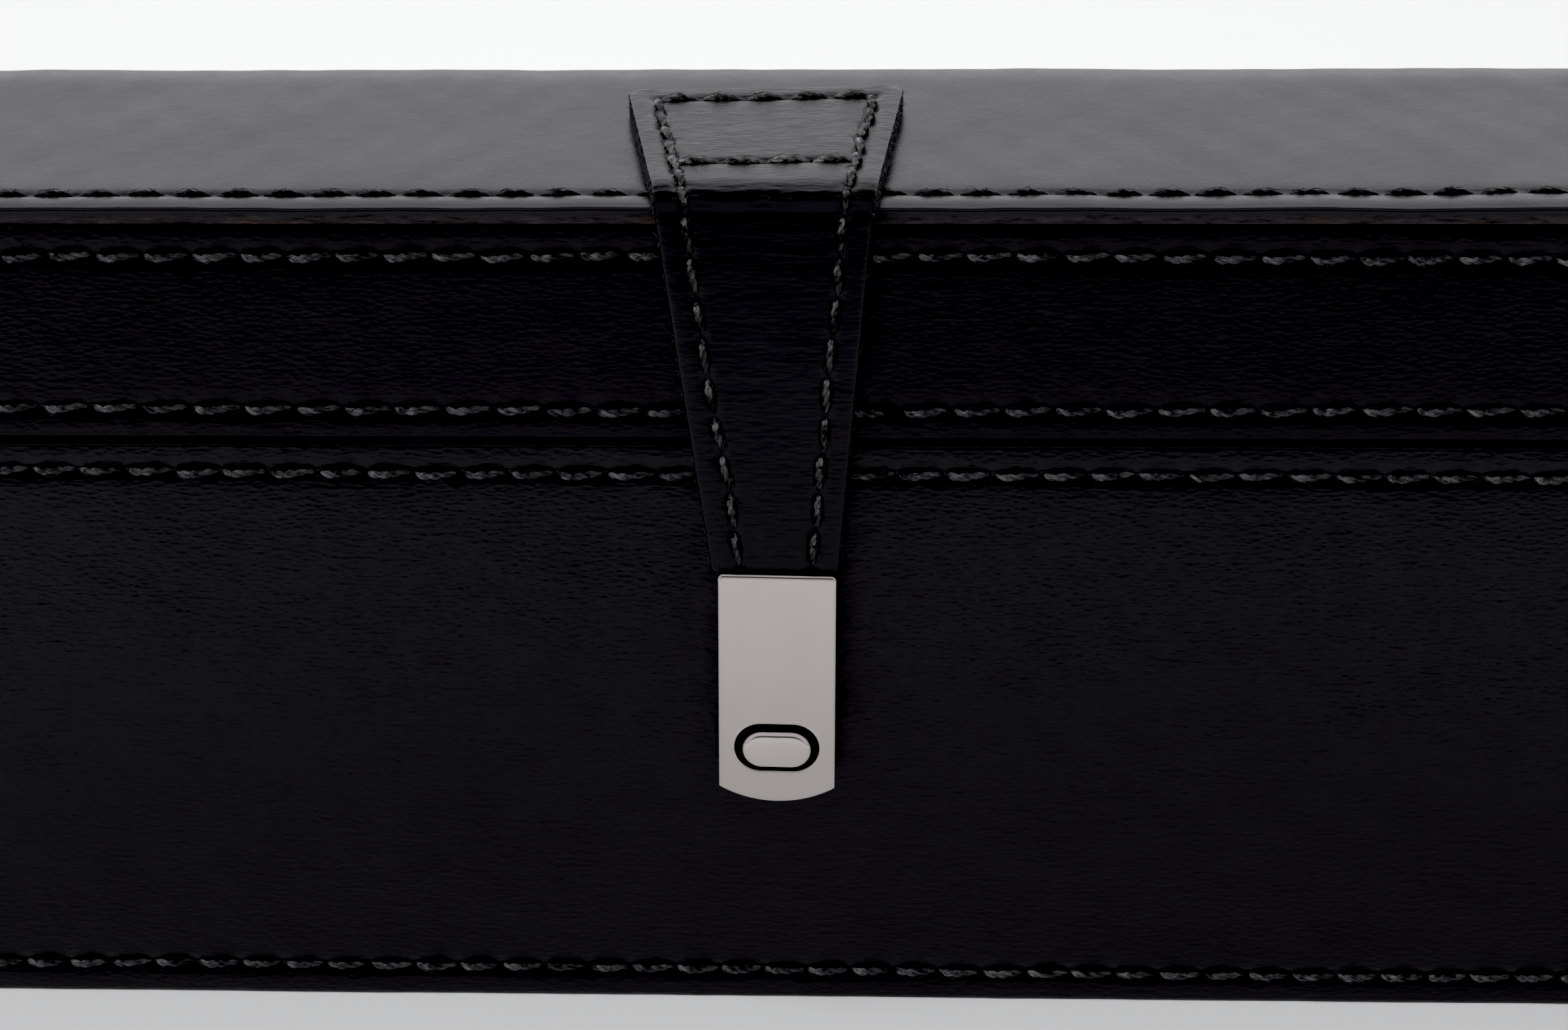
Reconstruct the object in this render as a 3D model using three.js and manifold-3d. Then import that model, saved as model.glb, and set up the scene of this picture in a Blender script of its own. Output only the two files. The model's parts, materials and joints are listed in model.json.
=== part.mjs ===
// Poker chip case: an upright leather-covered board box with a hinged lid, closed by a tapered strap
// that ends in a push-button clasp. Millimetres. +X along the length, +Y to the back, +Z up.
// The origin is the centre of the underside.
import * as THREE from "three";
import { mergeVertices } from "three/addons/utils/BufferGeometryUtils.js";
import Module from "manifold-3d";

const wasm = await Module();
wasm.setup();

// ---------- driving dimensions ----------
const CASE_LENGTH = 340;
const CASE_DEPTH = 60;
const CASE_HEIGHT = 125;
const TOP_OVERHANG = 0.6; // the lid's top panel stands this far past the walls
const LEATHER = 2.4;
const BOARD = 2.8;
const LINING = 1.2;
const BASE_HEIGHT = 89.6; // upper edge of the base's leather
const SEAM = 1.0; // gap between base and lid
const LIP_HEIGHT = 4.4; // the base's boards stand this far above its leather
const LIP_CLEARANCE = 0.6;

const FLOOR_PAD = 2.0;
const CHIP_WELL_RADIUS = 20.9;
const CHIP_WELLS_PER_SIDE = 3;
const CARD_WELL_WIDTH = 66;
const DIVIDER = 2.5;
const INSERT_HEIGHT = 76;
const FINGER_GAP = 24; // open middle of the chip wells, front to back
const LID_PAD = 4.2;
const LID_PAD_INSET = 2;

const HINGE_X = 105;
const HINGE_LENGTH = 26;
const LEAF = 1.0;
const LEAF_HEIGHT = 15;
const KNUCKLE_RADIUS = 1.9;
const PIN_RADIUS = 0.8;
const PIN_BORE_RADIUS = 1.0;
const PIN_PROUD = 0.4; // the pin's ends stand this far past the leaves
const SCREW_SPACING = 14;
const SCREW_FROM_AXIS = 9.5; // height of a hinge screw above or below the pin
const SCREW_HOLE_RADIUS = 1.2;
const SCREW_SHANK_RADIUS = 0.85;
const HINGE_SCREW = { head: 1.9, height: 0.6, depth: 2.7 };
const KEEPER_SCREW = { head: 1.8, height: 0.3, depth: 2.4 };

const STRAP_LAYER_OUTER = 1.6;
const STRAP_LAYER_INNER = 1.4;
const STRAP_BACK_WIDTH = 39.7;
const STRAP_FOLD_WIDTH = 29.8;
const STRAP_CLASP_WIDTH = 17.7;
const STRAP_STANDOFF = 1.4; // hanging part to the top panel's front edge
const ANCHOR_LENGTH = 38.5;

const CLASP_WIDTH = 16.6;
const CLASP_TOP = 72.7;
const CLASP_SHOULDER = 38.8;
const CLASP_BOTTOM = 36.4;
const CLASP_THICKNESS = 2.2;
const CLASP_WALL = 0.8;
const CLASP_PROUD = 0.8; // face of the clasp beyond the face of the strap
const BUTTON_HOLE = { width: 11.9, height: 7.4, z: 45.2 };
const BUTTON = { width: 9.9, height: 5.7, raise: 0.85, flange: 0.45, bevel: 0.35 };
const BACK_PLATE = 0.6;
const WINDOW = { width: 5.4, low: 49.4, high: 58.6 };
const STUD = { radius: 1.8, neck: 1.1, z: 56, shank: 1.2, hole: 1.5, depth: 1.8 };
const KEEPER = { width: 12, low: 46.5, high: 66, thickness: 0.8, screwSpacing: 13.6 };
const CATCH = { x: 3.4, foot: 1.5, high: 65.5 };
const RIVET = { radius: 1.0, hole: 1.3, x: 4.6, z: 68 };

const FIT = 0.02; // cut boards stand this far off the pieces they meet
const EASE = 0.1; // slack round loose pieces
const HOLE_DEPTH = 2.0; // blind holes for screws in the leather

// ---------- levels that follow from them ----------
const topX = CASE_LENGTH / 2;
const topY = CASE_DEPTH / 2;
const wallX = topX - TOP_OVERHANG;
const wallY = topY - TOP_OVERHANG;
const leatherInX = wallX - LEATHER;
const leatherInY = wallY - LEATHER;
const boardInX = leatherInX - BOARD;
const boardInY = leatherInY - BOARD;
const roomX = boardInX - LINING;
const roomY = boardInY - LINING;

const bottomBoardTop = LEATHER + BOARD;
const floorTop = bottomBoardTop + LINING;
const insertLow = floorTop + FLOOR_PAD;
const insertHigh = insertLow + INSERT_HEIGHT;
const lipTop = BASE_HEIGHT + LIP_HEIGHT;

const lidLow = BASE_HEIGHT + SEAM;
const topPanelLow = CASE_HEIGHT - LEATHER;
const lidBoardLow = lipTop + 2 * LIP_CLEARANCE;
const lidCeiling = topPanelLow - BOARD;
const lidLiningLow = lidCeiling - LINING;

const hingeY = wallY + 0.3 + KNUCKLE_RADIUS;
const hingeZ = BASE_HEIGHT + SEAM / 2;

const strapInY = -topY - STRAP_STANDOFF;
const strapMidY = strapInY - STRAP_LAYER_INNER;
const strapOutY = strapMidY - STRAP_LAYER_OUTER;
const strapHigh = CASE_HEIGHT - 0.6;
const strapOuterLow = CLASP_TOP + 0.4;
const anchorFront = -topY + 1.6;
const anchorBack = anchorFront + ANCHOR_LENGTH;
const strapThickness = STRAP_LAYER_OUTER + STRAP_LAYER_INNER;

const claspFaceY = strapOutY - CLASP_PROUD;
const claspBackY = claspFaceY + CLASP_THICKNESS;
const claspRoomY = claspFaceY + CLASP_WALL;
const backPlateY = strapInY + EASE;

// ---------- materials ----------
function material(color, roughness, metalness = 0) {
  return () => new THREE.MeshStandardMaterial({ color, roughness, metalness });
}
const blackLeather = material(0x0f0f12, 0.45);
const strapLeather = material(0x0b0b0d, 0.4);
const greyBoard = material(0x8a7f70, 0.9);
const suede = material(0x3a2222, 0.95);
const nickel = material(0xb9b4b0, 0.25, 1);
const steel = material(0x8c8c8c, 0.35, 1);

const chipCase = new THREE.Group();
chipCase.name = "poker_chip_case";

function add(name, geometry, makeMaterial) {
  const mesh = new THREE.Mesh(geometry, makeMaterial());
  mesh.name = name;
  chipCase.add(mesh);
  return mesh;
}

// ---------- shapes ----------
// A block from its two corners, with each face exactly at the value given.
function block(low, high) {
  const geometry = new THREE.BoxGeometry(1, 1, 1);
  const place = geometry.attributes.position;
  for (let i = 0; i < place.count; i++) {
    place.setXYZ(
      i,
      place.getX(i) < 0 ? low[0] : high[0],
      place.getY(i) < 0 ? low[1] : high[1],
      place.getZ(i) < 0 ? low[2] : high[2],
    );
  }
  return geometry;
}

const X = new THREE.Vector3(1, 0, 0);
const Y = new THREE.Vector3(0, 1, 0);
const Z = new THREE.Vector3(0, 0, 1);

function outline(points) {
  return new THREE.Shape(points.map(([a, b]) => new THREE.Vector2(a, b)));
}

function extrude(shape, length, curveSegments = 12) {
  return new THREE.ExtrudeGeometry(shape, { depth: length, bevelEnabled: false, curveSegments });
}

// An outline drawn in (x, z), from yLow to yHigh.
function prismY(shape, yLow, yHigh, curveSegments) {
  const turn = new THREE.Matrix4().makeBasis(X, Z, Y.clone().negate());
  return extrude(shape, yHigh - yLow, curveSegments).applyMatrix4(turn).translate(0, yHigh, 0);
}

// An outline drawn in (y, z), from xLow to xHigh.
function prismX(shape, xLow, xHigh, curveSegments) {
  const turn = new THREE.Matrix4().makeBasis(Y, Z, X);
  return extrude(shape, xHigh - xLow, curveSegments).applyMatrix4(turn).translate(xLow, 0, 0);
}

// An outline drawn in (x, y), from zLow to zHigh.
function prismZ(shape, zLow, zHigh, curveSegments) {
  return extrude(shape, zHigh - zLow, curveSegments).translate(0, 0, zLow);
}

// A turned piece about an axis along Y, from [radius, y] pairs that start and end on the axis.
function turnedY(profile, x, z, segments = 24) {
  const points = profile.map(([radius, y]) => new THREE.Vector2(radius, y));
  return new THREE.LatheGeometry(points, segments).translate(x, 0, z);
}

function rodY(radius, x, z, yLow, yHigh, segments = 20) {
  return turnedY([[0, yLow], [radius, yLow], [radius, yHigh], [0, yHigh]], x, z, segments);
}

function rodX(radius, y, z, xLow, xHigh, segments = 24) {
  const geometry = new THREE.CylinderGeometry(radius, radius, xHigh - xLow, segments);
  return geometry.rotateZ(Math.PI / 2).translate((xLow + xHigh) / 2, y, z);
}

function stadium(width, height, z) {
  const shape = new THREE.Shape();
  const radius = height / 2;
  const straight = width / 2 - radius;
  shape.absarc(straight, z, radius, -Math.PI / 2, Math.PI / 2, false);
  shape.absarc(-straight, z, radius, Math.PI / 2, (Math.PI * 3) / 2, false);
  return shape;
}

function solid(geometry) {
  const bare = geometry.clone();
  bare.deleteAttribute("normal");
  bare.deleteAttribute("uv");
  const merged = mergeVertices(bare, 1e-4);
  const mesh = new wasm.Mesh({
    numProp: 3,
    vertProperties: new Float32Array(merged.attributes.position.array),
    triVerts: new Uint32Array(merged.index.array),
  });
  return new wasm.Manifold(mesh);
}

function geometryOf(manifold) {
  const mesh = manifold.getMesh();
  const geometry = new THREE.BufferGeometry();
  geometry.setAttribute("position", new THREE.BufferAttribute(mesh.vertProperties, 3));
  geometry.setIndex(new THREE.BufferAttribute(mesh.triVerts, 1));
  geometry.computeVertexNormals();
  return geometry;
}

function join(...geometries) {
  const solids = geometries.map(solid);
  return geometryOf(solids.reduce((sum, next) => sum.add(next)));
}

function cut(geometry, ...tools) {
  let rest = solid(geometry);
  for (const tool of tools) rest = rest.subtract(solid(tool));
  return geometryOf(rest);
}

// ---------- base: leather panels ----------
const screwXs = [];
for (const x of [-HINGE_X, HINGE_X]) screwXs.push(x - SCREW_SPACING / 2, x + SCREW_SPACING / 2);
const baseScrewZ = hingeZ - SCREW_FROM_AXIS;
const lidScrewZ = hingeZ + SCREW_FROM_AXIS;
const keeperScrewZs = [STUD.z - KEEPER.screwSpacing / 2, STUD.z + KEEPER.screwSpacing / 2];

function frontHole(radius, z) {
  return rodY(radius, 0, z, -wallY - 1, -wallY + HOLE_DEPTH);
}

function backHole(x, z) {
  return rodY(SCREW_HOLE_RADIUS, x, z, wallY - HOLE_DEPTH, wallY + 1);
}

add(
  "base_leather_front",
  cut(
    block([-wallX, -wallY, 0], [wallX, -leatherInY, BASE_HEIGHT]),
    frontHole(SCREW_HOLE_RADIUS, keeperScrewZs[0]),
    frontHole(SCREW_HOLE_RADIUS, keeperScrewZs[1]),
    frontHole(STUD.hole, STUD.z),
  ),
  blackLeather,
);
add(
  "base_leather_back",
  cut(
    block([-wallX, leatherInY, 0], [wallX, wallY, BASE_HEIGHT]),
    ...screwXs.map((x) => backHole(x, baseScrewZ)),
  ),
  blackLeather,
);
add(
  "base_leather_left",
  block([-wallX, -leatherInY, 0], [-leatherInX, leatherInY, BASE_HEIGHT]),
  blackLeather,
);
add(
  "base_leather_right",
  block([leatherInX, -leatherInY, 0], [wallX, leatherInY, BASE_HEIGHT]),
  blackLeather,
);
add(
  "base_leather_bottom",
  block([-leatherInX, -leatherInY, 0], [leatherInX, leatherInY, LEATHER]),
  blackLeather,
);

// ---------- base: boards, which rise above the leather as a rebated lip ----------
// The section of an upright board from its inner face to its outer face; side is -1 or +1.
function lipSection(inner, outer, side) {
  const lip = outer - LIP_CLEARANCE;
  return outline([
    [side * inner, bottomBoardTop],
    [side * outer, bottomBoardTop],
    [side * outer, BASE_HEIGHT],
    [side * lip, BASE_HEIGHT],
    [side * lip, lipTop],
    [side * inner, lipTop],
  ]);
}

add(
  "base_board_bottom",
  block([-leatherInX, -leatherInY, LEATHER], [leatherInX, leatherInY, bottomBoardTop]),
  greyBoard,
);
const longBoardX = boardInX - FIT;
const endBoardY = leatherInY - LIP_CLEARANCE;
for (const [name, side] of [["front", -1], ["back", 1]]) {
  const section = lipSection(boardInY, leatherInY, side);
  add(`base_board_${name}`, prismX(section, -longBoardX, longBoardX), greyBoard);
}
for (const [name, side] of [["left", -1], ["right", 1]]) {
  const section = lipSection(boardInX, leatherInX, side);
  add(`base_board_${name}`, prismY(section, -endBoardY, endBoardY), greyBoard);
}

// ---------- base: lining, floor pad and inserts ----------
const liningOutX = boardInX - FIT;
const liningOutY = boardInY - FIT;
const cutterMargin = 5; // cutting blocks run this far past what they cut
add(
  "base_lining",
  cut(
    block([-liningOutX, -liningOutY, bottomBoardTop], [liningOutX, liningOutY, lipTop]),
    block([-roomX, -roomY, floorTop], [roomX, roomY, lipTop + cutterMargin]),
  ),
  suede,
);
const insertX = roomX - EASE;
const insertY = roomY - EASE;
add(
  "floor_pad",
  block([-insertX, -insertY, floorTop + EASE / 2], [insertX, insertY, insertLow - EASE / 2]),
  suede,
);

const dividerIn = CARD_WELL_WIDTH / 2;
const dividerOut = dividerIn + DIVIDER;
for (const [name, side] of [["left", -1], ["right", 1]]) {
  const low = Math.min(side * dividerIn, side * dividerOut);
  const high = low + DIVIDER;
  add(`card_divider_${name}`, block([low, -insertY, insertLow], [high, insertY, insertHigh]), suede);
}

// A fluted strip lines one wall of one side's chip wells.
const wellPitch = (roomX - dividerOut) / CHIP_WELLS_PER_SIDE;
function flutedStrip(xSide, ySide) {
  const xs = [xSide * (dividerOut + EASE), xSide * insertX].sort((a, b) => a - b);
  const ys = [(ySide * FINGER_GAP) / 2, ySide * insertY].sort((a, b) => a - b);
  const body = block([xs[0], ys[0], insertLow], [xs[1], ys[1], insertHigh]);
  const height = INSERT_HEIGHT + cutterMargin;
  const flutes = [];
  for (let i = 0; i < CHIP_WELLS_PER_SIDE; i++) {
    const x = xSide * (dividerOut + wellPitch * (i + 0.5));
    const circle = new THREE.CylinderGeometry(CHIP_WELL_RADIUS, CHIP_WELL_RADIUS, height, 64);
    flutes.push(circle.rotateX(Math.PI / 2).translate(x, 0, (insertLow + insertHigh) / 2));
  }
  return cut(body, ...flutes);
}
for (const [row, ySide] of [["front", -1], ["back", 1]]) {
  for (const [column, xSide] of [["left", -1], ["right", 1]]) {
    add(`chip_flutes_${row}_${column}`, flutedStrip(xSide, ySide), suede);
  }
}

// ---------- lid: leather panels ----------
add(
  "lid_leather_top",
  block([-topX, -topY, topPanelLow], [topX, topY, CASE_HEIGHT]),
  blackLeather,
);
add(
  "lid_leather_front",
  block([-wallX, -wallY, lidLow], [wallX, -leatherInY, topPanelLow]),
  blackLeather,
);
add(
  "lid_leather_back",
  cut(
    block([-wallX, leatherInY, lidLow], [wallX, wallY, topPanelLow]),
    ...screwXs.map((x) => backHole(x, lidScrewZ)),
  ),
  blackLeather,
);
add(
  "lid_leather_left",
  block([-wallX, -leatherInY, lidLow], [-leatherInX, leatherInY, topPanelLow]),
  blackLeather,
);
add(
  "lid_leather_right",
  block([leatherInX, -leatherInY, lidLow], [wallX, leatherInY, topPanelLow]),
  blackLeather,
);

// ---------- lid: boards, lining and pad ----------
add(
  "lid_board_top",
  block([-leatherInX, -leatherInY, lidCeiling], [leatherInX, leatherInY, topPanelLow]),
  greyBoard,
);
add(
  "lid_board_front",
  block([-leatherInX, -leatherInY, lidBoardLow], [leatherInX, -boardInY, lidCeiling]),
  greyBoard,
);
add(
  "lid_board_back",
  block([-leatherInX, boardInY, lidBoardLow], [leatherInX, leatherInY, lidCeiling]),
  greyBoard,
);
add(
  "lid_board_left",
  block([-leatherInX, -boardInY, lidBoardLow], [-boardInX, boardInY, lidCeiling]),
  greyBoard,
);
add(
  "lid_board_right",
  block([boardInX, -boardInY, lidBoardLow], [leatherInX, boardInY, lidCeiling]),
  greyBoard,
);
add(
  "lid_lining",
  cut(
    block([-liningOutX, -liningOutY, lidBoardLow], [liningOutX, liningOutY, lidCeiling]),
    block([-roomX, -roomY, lidBoardLow - cutterMargin], [roomX, roomY, lidLiningLow]),
  ),
  suede,
);
const padX = roomX - LID_PAD_INSET;
const padY = roomY - LID_PAD_INSET;
add(
  "lid_pad",
  block([-padX, -padY, lidLiningLow - LID_PAD], [padX, padY, lidLiningLow - EASE / 2]),
  suede,
);

// ---------- hinges ----------
const leafGap = KNUCKLE_RADIUS + 0.2; // from the pin's axis to a leaf's edge
const knuckleGap = 0.3;
const middleKnuckle = HINGE_LENGTH * 0.4;

// side +1 rises onto the lid, side -1 hangs on the base.
function hingeLeaf(x, side, spans, screwZ) {
  const near = hingeZ + side * leafGap;
  const far = hingeZ + side * (leafGap + LEAF_HEIGHT);
  const plate = block(
    [x - HINGE_LENGTH / 2, wallY, Math.min(near, far)],
    [x + HINGE_LENGTH / 2, wallY + LEAF, Math.max(near, far)],
  );
  const web = outline([
    [wallY + EASE, hingeZ + side * (leafGap + 0.6)],
    [wallY + LEAF, hingeZ + side * (leafGap + 0.6)],
    [hingeY, hingeZ + side * (KNUCKLE_RADIUS - 0.1)],
    [hingeY - 0.9, hingeZ + side * 1.2],
  ]);
  const pieces = [plate];
  for (const [from, to] of spans) {
    pieces.push(rodX(KNUCKLE_RADIUS, hingeY, hingeZ, x + from, x + to));
    pieces.push(prismX(web, x + from, x + to));
  }
  const tools = [rodX(PIN_BORE_RADIUS, hingeY, hingeZ, x - HINGE_LENGTH, x + HINGE_LENGTH)];
  for (const offset of [-SCREW_SPACING / 2, SCREW_SPACING / 2]) {
    tools.push(rodY(SCREW_HOLE_RADIUS, x + offset, screwZ, wallY - 1, wallY + LEAF + 1));
  }
  return cut(join(...pieces), ...tools);
}

// A domed screw whose head rests on a face that looks towards side (+1 back, -1 front).
function screw(x, z, faceY, side, { head, height, depth }) {
  const seat = faceY + (side * FIT * 3) / 2;
  const profile = [
    [0, faceY - side * depth],
    [SCREW_SHANK_RADIUS, faceY - side * depth],
    [SCREW_SHANK_RADIUS, seat],
    [head, seat],
    [head, faceY + side * height * 0.5],
    [head * 0.7, faceY + side * height * 0.9],
    [0, faceY + side * height],
  ];
  return turnedY(side > 0 ? profile : profile.reverse(), x, z, 20);
}

const half = HINGE_LENGTH / 2;
const inner = middleKnuckle / 2;
for (const [label, x] of [["left", -HINGE_X], ["right", HINGE_X]]) {
  const outerSpans = [[-half, -inner - knuckleGap], [inner + knuckleGap, half]];
  add(`hinge_${label}_base_leaf`, hingeLeaf(x, -1, outerSpans, baseScrewZ), nickel);
  add(`hinge_${label}_lid_leaf`, hingeLeaf(x, 1, [[-inner, inner]], lidScrewZ), nickel);
  const pinReach = half + PIN_PROUD;
  add(`hinge_${label}_pin`, rodX(PIN_RADIUS, hingeY, hingeZ, x - pinReach, x + pinReach), steel);
  for (const [name, z] of [["base", baseScrewZ], ["lid", lidScrewZ]]) {
    for (const [place, side] of [["outer", Math.sign(x)], ["inner", -Math.sign(x)]]) {
      const at = x + (side * SCREW_SPACING) / 2;
      const piece = screw(at, z, wallY + LEAF, 1, HINGE_SCREW);
      add(`hinge_${label}_${name}_screw_${place}`, piece, nickel);
    }
  }
}

// ---------- keeper on the front of the base ----------
const keeperFaceY = -wallY - KEEPER.thickness;
const keeperX = KEEPER.width / 2;
add(
  "keeper_plate",
  cut(
    block([-keeperX, keeperFaceY, KEEPER.low], [keeperX, -wallY, KEEPER.high]),
    rodY(SCREW_HOLE_RADIUS, 0, keeperScrewZs[0], keeperFaceY - 1, -wallY + 1),
    rodY(SCREW_HOLE_RADIUS, 0, keeperScrewZs[1], keeperFaceY - 1, -wallY + 1),
    rodY(STUD.hole, 0, STUD.z, keeperFaceY - 1, -wallY + 1),
  ),
  nickel,
);
["lower", "upper"].forEach((name, i) => {
  const piece = screw(0, keeperScrewZs[i], keeperFaceY, -1, KEEPER_SCREW);
  add(`keeper_screw_${name}`, piece, nickel);
});
const studTipY = claspRoomY + 0.5;
const catchLowY = claspBackY - 0.5;
const catchHighY = claspBackY - EASE;
add(
  "keeper_stud",
  turnedY(
    [
      [0, studTipY],
      [STUD.radius - 0.5, studTipY],
      [STUD.radius, studTipY + 0.3],
      [STUD.neck, catchLowY - EASE],
      [STUD.neck, catchHighY + EASE],
      [STUD.radius, catchHighY + 0.4],
      [STUD.radius, keeperFaceY - EASE / 2],
      [STUD.shank, keeperFaceY - EASE / 2],
      [STUD.shank, -wallY + STUD.depth],
      [0, -wallY + STUD.depth],
    ],
    0,
    STUD.z,
  ),
  steel,
);

// ---------- strap ----------
add(
  "strap_anchor",
  prismZ(
    outline([
      [-STRAP_FOLD_WIDTH / 2, anchorFront],
      [STRAP_FOLD_WIDTH / 2, anchorFront],
      [STRAP_BACK_WIDTH / 2, anchorBack],
      [-STRAP_BACK_WIDTH / 2, anchorBack],
    ]),
    CASE_HEIGHT,
    CASE_HEIGHT + strapThickness,
  ),
  strapLeather,
);

// The fold follows an elliptic arc from the anchor's end over the lid's edge to the hanging part.
function foldSection() {
  const start = anchorFront - EASE;
  const low = strapHigh + EASE;
  const reach = start - strapOutY;
  const rise = CASE_HEIGHT + strapThickness - low;
  const steps = 8;
  const points = [
    [start, CASE_HEIGHT + EASE],
    [strapInY + 0.9, CASE_HEIGHT + EASE],
    [strapInY + 0.3, CASE_HEIGHT - EASE / 2],
    [strapInY, low],
  ];
  for (let i = steps; i >= 0; i--) {
    const angle = (Math.PI / 2) * (i / steps);
    points.push([start - reach * Math.sin(angle), low + rise * Math.cos(angle)]);
  }
  return outline(points);
}
add("strap_fold", prismX(foldSection(), -STRAP_FOLD_WIDTH / 2, STRAP_FOLD_WIDTH / 2), strapLeather);

add(
  "strap_outer_leather",
  prismY(
    outline([
      [-STRAP_CLASP_WIDTH / 2, strapOuterLow],
      [STRAP_CLASP_WIDTH / 2, strapOuterLow],
      [STRAP_FOLD_WIDTH / 2, strapHigh],
      [-STRAP_FOLD_WIDTH / 2, strapHigh],
    ]),
    strapOutY,
    strapMidY - FIT,
  ),
  strapLeather,
);

function claspOutline(inset) {
  const side = CLASP_WIDTH / 2 - inset;
  const shoulder = CLASP_SHOULDER + inset * 0.3;
  const low = CLASP_BOTTOM + inset;
  const sag = shoulder - low;
  const radius = (side * side + sag * sag) / (2 * sag);
  const reach = Math.asin(side / radius);
  const shape = new THREE.Shape();
  shape.moveTo(side, CLASP_TOP - inset);
  shape.lineTo(-side, CLASP_TOP - inset);
  shape.lineTo(-side, shoulder);
  shape.absarc(0, low + radius, radius, -Math.PI / 2 - reach, -Math.PI / 2 + reach, false);
  return shape;
}
const outsideY = claspFaceY - cutterMargin;
const windowX = WINDOW.width / 2;
const windowBlock = block([-windowX, outsideY, WINDOW.low], [windowX, -topY, WINDOW.high]);
const rivetXs = [-RIVET.x, RIVET.x];
const rivetHoles = rivetXs.map((x) => rodY(RIVET.hole, x, RIVET.z, outsideY, -topY));

const liningSide = CLASP_WIDTH / 2 - 0.3;
add(
  "strap_inner_leather",
  cut(
    prismY(
      outline([
        [-liningSide + 2, CLASP_BOTTOM + 1.2],
        [liningSide - 2, CLASP_BOTTOM + 1.2],
        [liningSide, CLASP_SHOULDER + 0.8],
        [liningSide, CLASP_TOP - 0.5],
        [STRAP_CLASP_WIDTH / 2, strapOuterLow],
        [STRAP_FOLD_WIDTH / 2, strapHigh],
        [-STRAP_FOLD_WIDTH / 2, strapHigh],
        [-STRAP_CLASP_WIDTH / 2, strapOuterLow],
        [-liningSide, CLASP_TOP - 0.5],
        [-liningSide, CLASP_SHOULDER + 0.8],
      ]),
      strapMidY,
      strapInY,
    ),
    windowBlock,
    ...rivetHoles,
  ),
  strapLeather,
);

// ---------- clasp ----------
add(
  "clasp_plate",
  cut(
    prismY(claspOutline(0), claspFaceY, claspBackY, 24),
    prismY(claspOutline(1.0), claspRoomY, claspBackY + 1, 24),
    prismY(stadium(BUTTON_HOLE.width, BUTTON_HOLE.height, BUTTON_HOLE.z), claspFaceY - 1, claspBackY + 1),
  ),
  nickel,
);
add(
  "clasp_back_plate",
  cut(prismY(claspOutline(1.2), backPlateY, backPlateY + BACK_PLATE, 24), windowBlock, ...rivetHoles),
  nickel,
);
["left", "right"].forEach((name, i) => {
  const low = claspRoomY + EASE;
  const high = backPlateY + BACK_PLATE + EASE;
  add(`clasp_rivet_${name}`, rodY(RIVET.radius, rivetXs[i], RIVET.z, low, high), nickel);
});

// The catch is a flat steel leaf whose slot holds the stud's neck and whose foot lies behind the button.
const catchSlot = block(
  [-STUD.neck - 0.2, catchLowY - 1, WINDOW.low + 1.2],
  [STUD.neck + 0.2, catchHighY + 1, STUD.z + STUD.neck + 0.3],
);
add(
  "catch_spring",
  cut(
    block([-CATCH.x, catchLowY, BUTTON_HOLE.z - CATCH.foot], [CATCH.x, catchHighY, CATCH.high]),
    catchSlot,
  ),
  steel,
);

const buttonFaceY = claspFaceY - BUTTON.raise;
const flangeFrontY = claspRoomY + EASE;
const flangeBackY = flangeFrontY + BUTTON.flange;
const buttonFace = stadium(
  BUTTON.width - 2 * BUTTON.bevel,
  BUTTON.height - 2 * BUTTON.bevel,
  BUTTON_HOLE.z,
);
const buttonBody = stadium(BUTTON.width, BUTTON.height, BUTTON_HOLE.z);
const buttonFlange = stadium(BUTTON_HOLE.width + 0.9, BUTTON_HOLE.height + 0.6, BUTTON_HOLE.z);
add(
  "push_button",
  join(
    prismY(buttonFace, buttonFaceY, flangeBackY),
    prismY(buttonBody, buttonFaceY + BUTTON.bevel, flangeBackY - EASE / 2),
    prismY(buttonFlange, flangeFrontY, flangeBackY - FIT),
  ),
  nickel,
);

export default chipCase;
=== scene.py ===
import json
import math
import bmesh
import bpy
import numpy as np
from mathutils import Matrix, Vector


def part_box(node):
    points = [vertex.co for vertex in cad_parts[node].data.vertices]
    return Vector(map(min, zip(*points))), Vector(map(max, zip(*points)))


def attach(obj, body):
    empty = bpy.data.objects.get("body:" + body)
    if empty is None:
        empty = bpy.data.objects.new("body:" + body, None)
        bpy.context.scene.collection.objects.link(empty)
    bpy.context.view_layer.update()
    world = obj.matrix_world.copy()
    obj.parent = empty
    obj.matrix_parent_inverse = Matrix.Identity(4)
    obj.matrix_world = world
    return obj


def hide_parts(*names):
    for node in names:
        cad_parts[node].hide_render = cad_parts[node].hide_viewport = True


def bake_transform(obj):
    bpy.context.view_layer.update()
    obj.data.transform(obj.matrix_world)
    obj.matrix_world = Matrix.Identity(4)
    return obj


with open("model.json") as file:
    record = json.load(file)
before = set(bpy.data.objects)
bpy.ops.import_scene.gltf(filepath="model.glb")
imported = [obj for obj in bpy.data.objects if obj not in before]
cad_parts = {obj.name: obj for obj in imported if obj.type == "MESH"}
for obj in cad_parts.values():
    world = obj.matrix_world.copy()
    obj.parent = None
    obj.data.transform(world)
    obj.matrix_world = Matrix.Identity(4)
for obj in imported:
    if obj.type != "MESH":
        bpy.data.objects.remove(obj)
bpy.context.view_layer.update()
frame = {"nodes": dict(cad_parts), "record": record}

MM = 0.001
dice = np.random.RandomState(11)

# ---------- sizes, in millimetres, read from the frame ----------


def box_mm(node):
    low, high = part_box(node)
    return np.array(low) / MM, np.array(high) / MM


top_low, top_high = box_mm("lid_leather_top")
anchor_low, anchor_high = box_mm("strap_anchor")
hang_low, hang_high = box_mm("strap_outer_leather")
inner_face = box_mm("strap_inner_leather")[0][1]
plate_low, plate_high = box_mm("clasp_plate")
button_low, button_high = box_mm("push_button")

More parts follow.
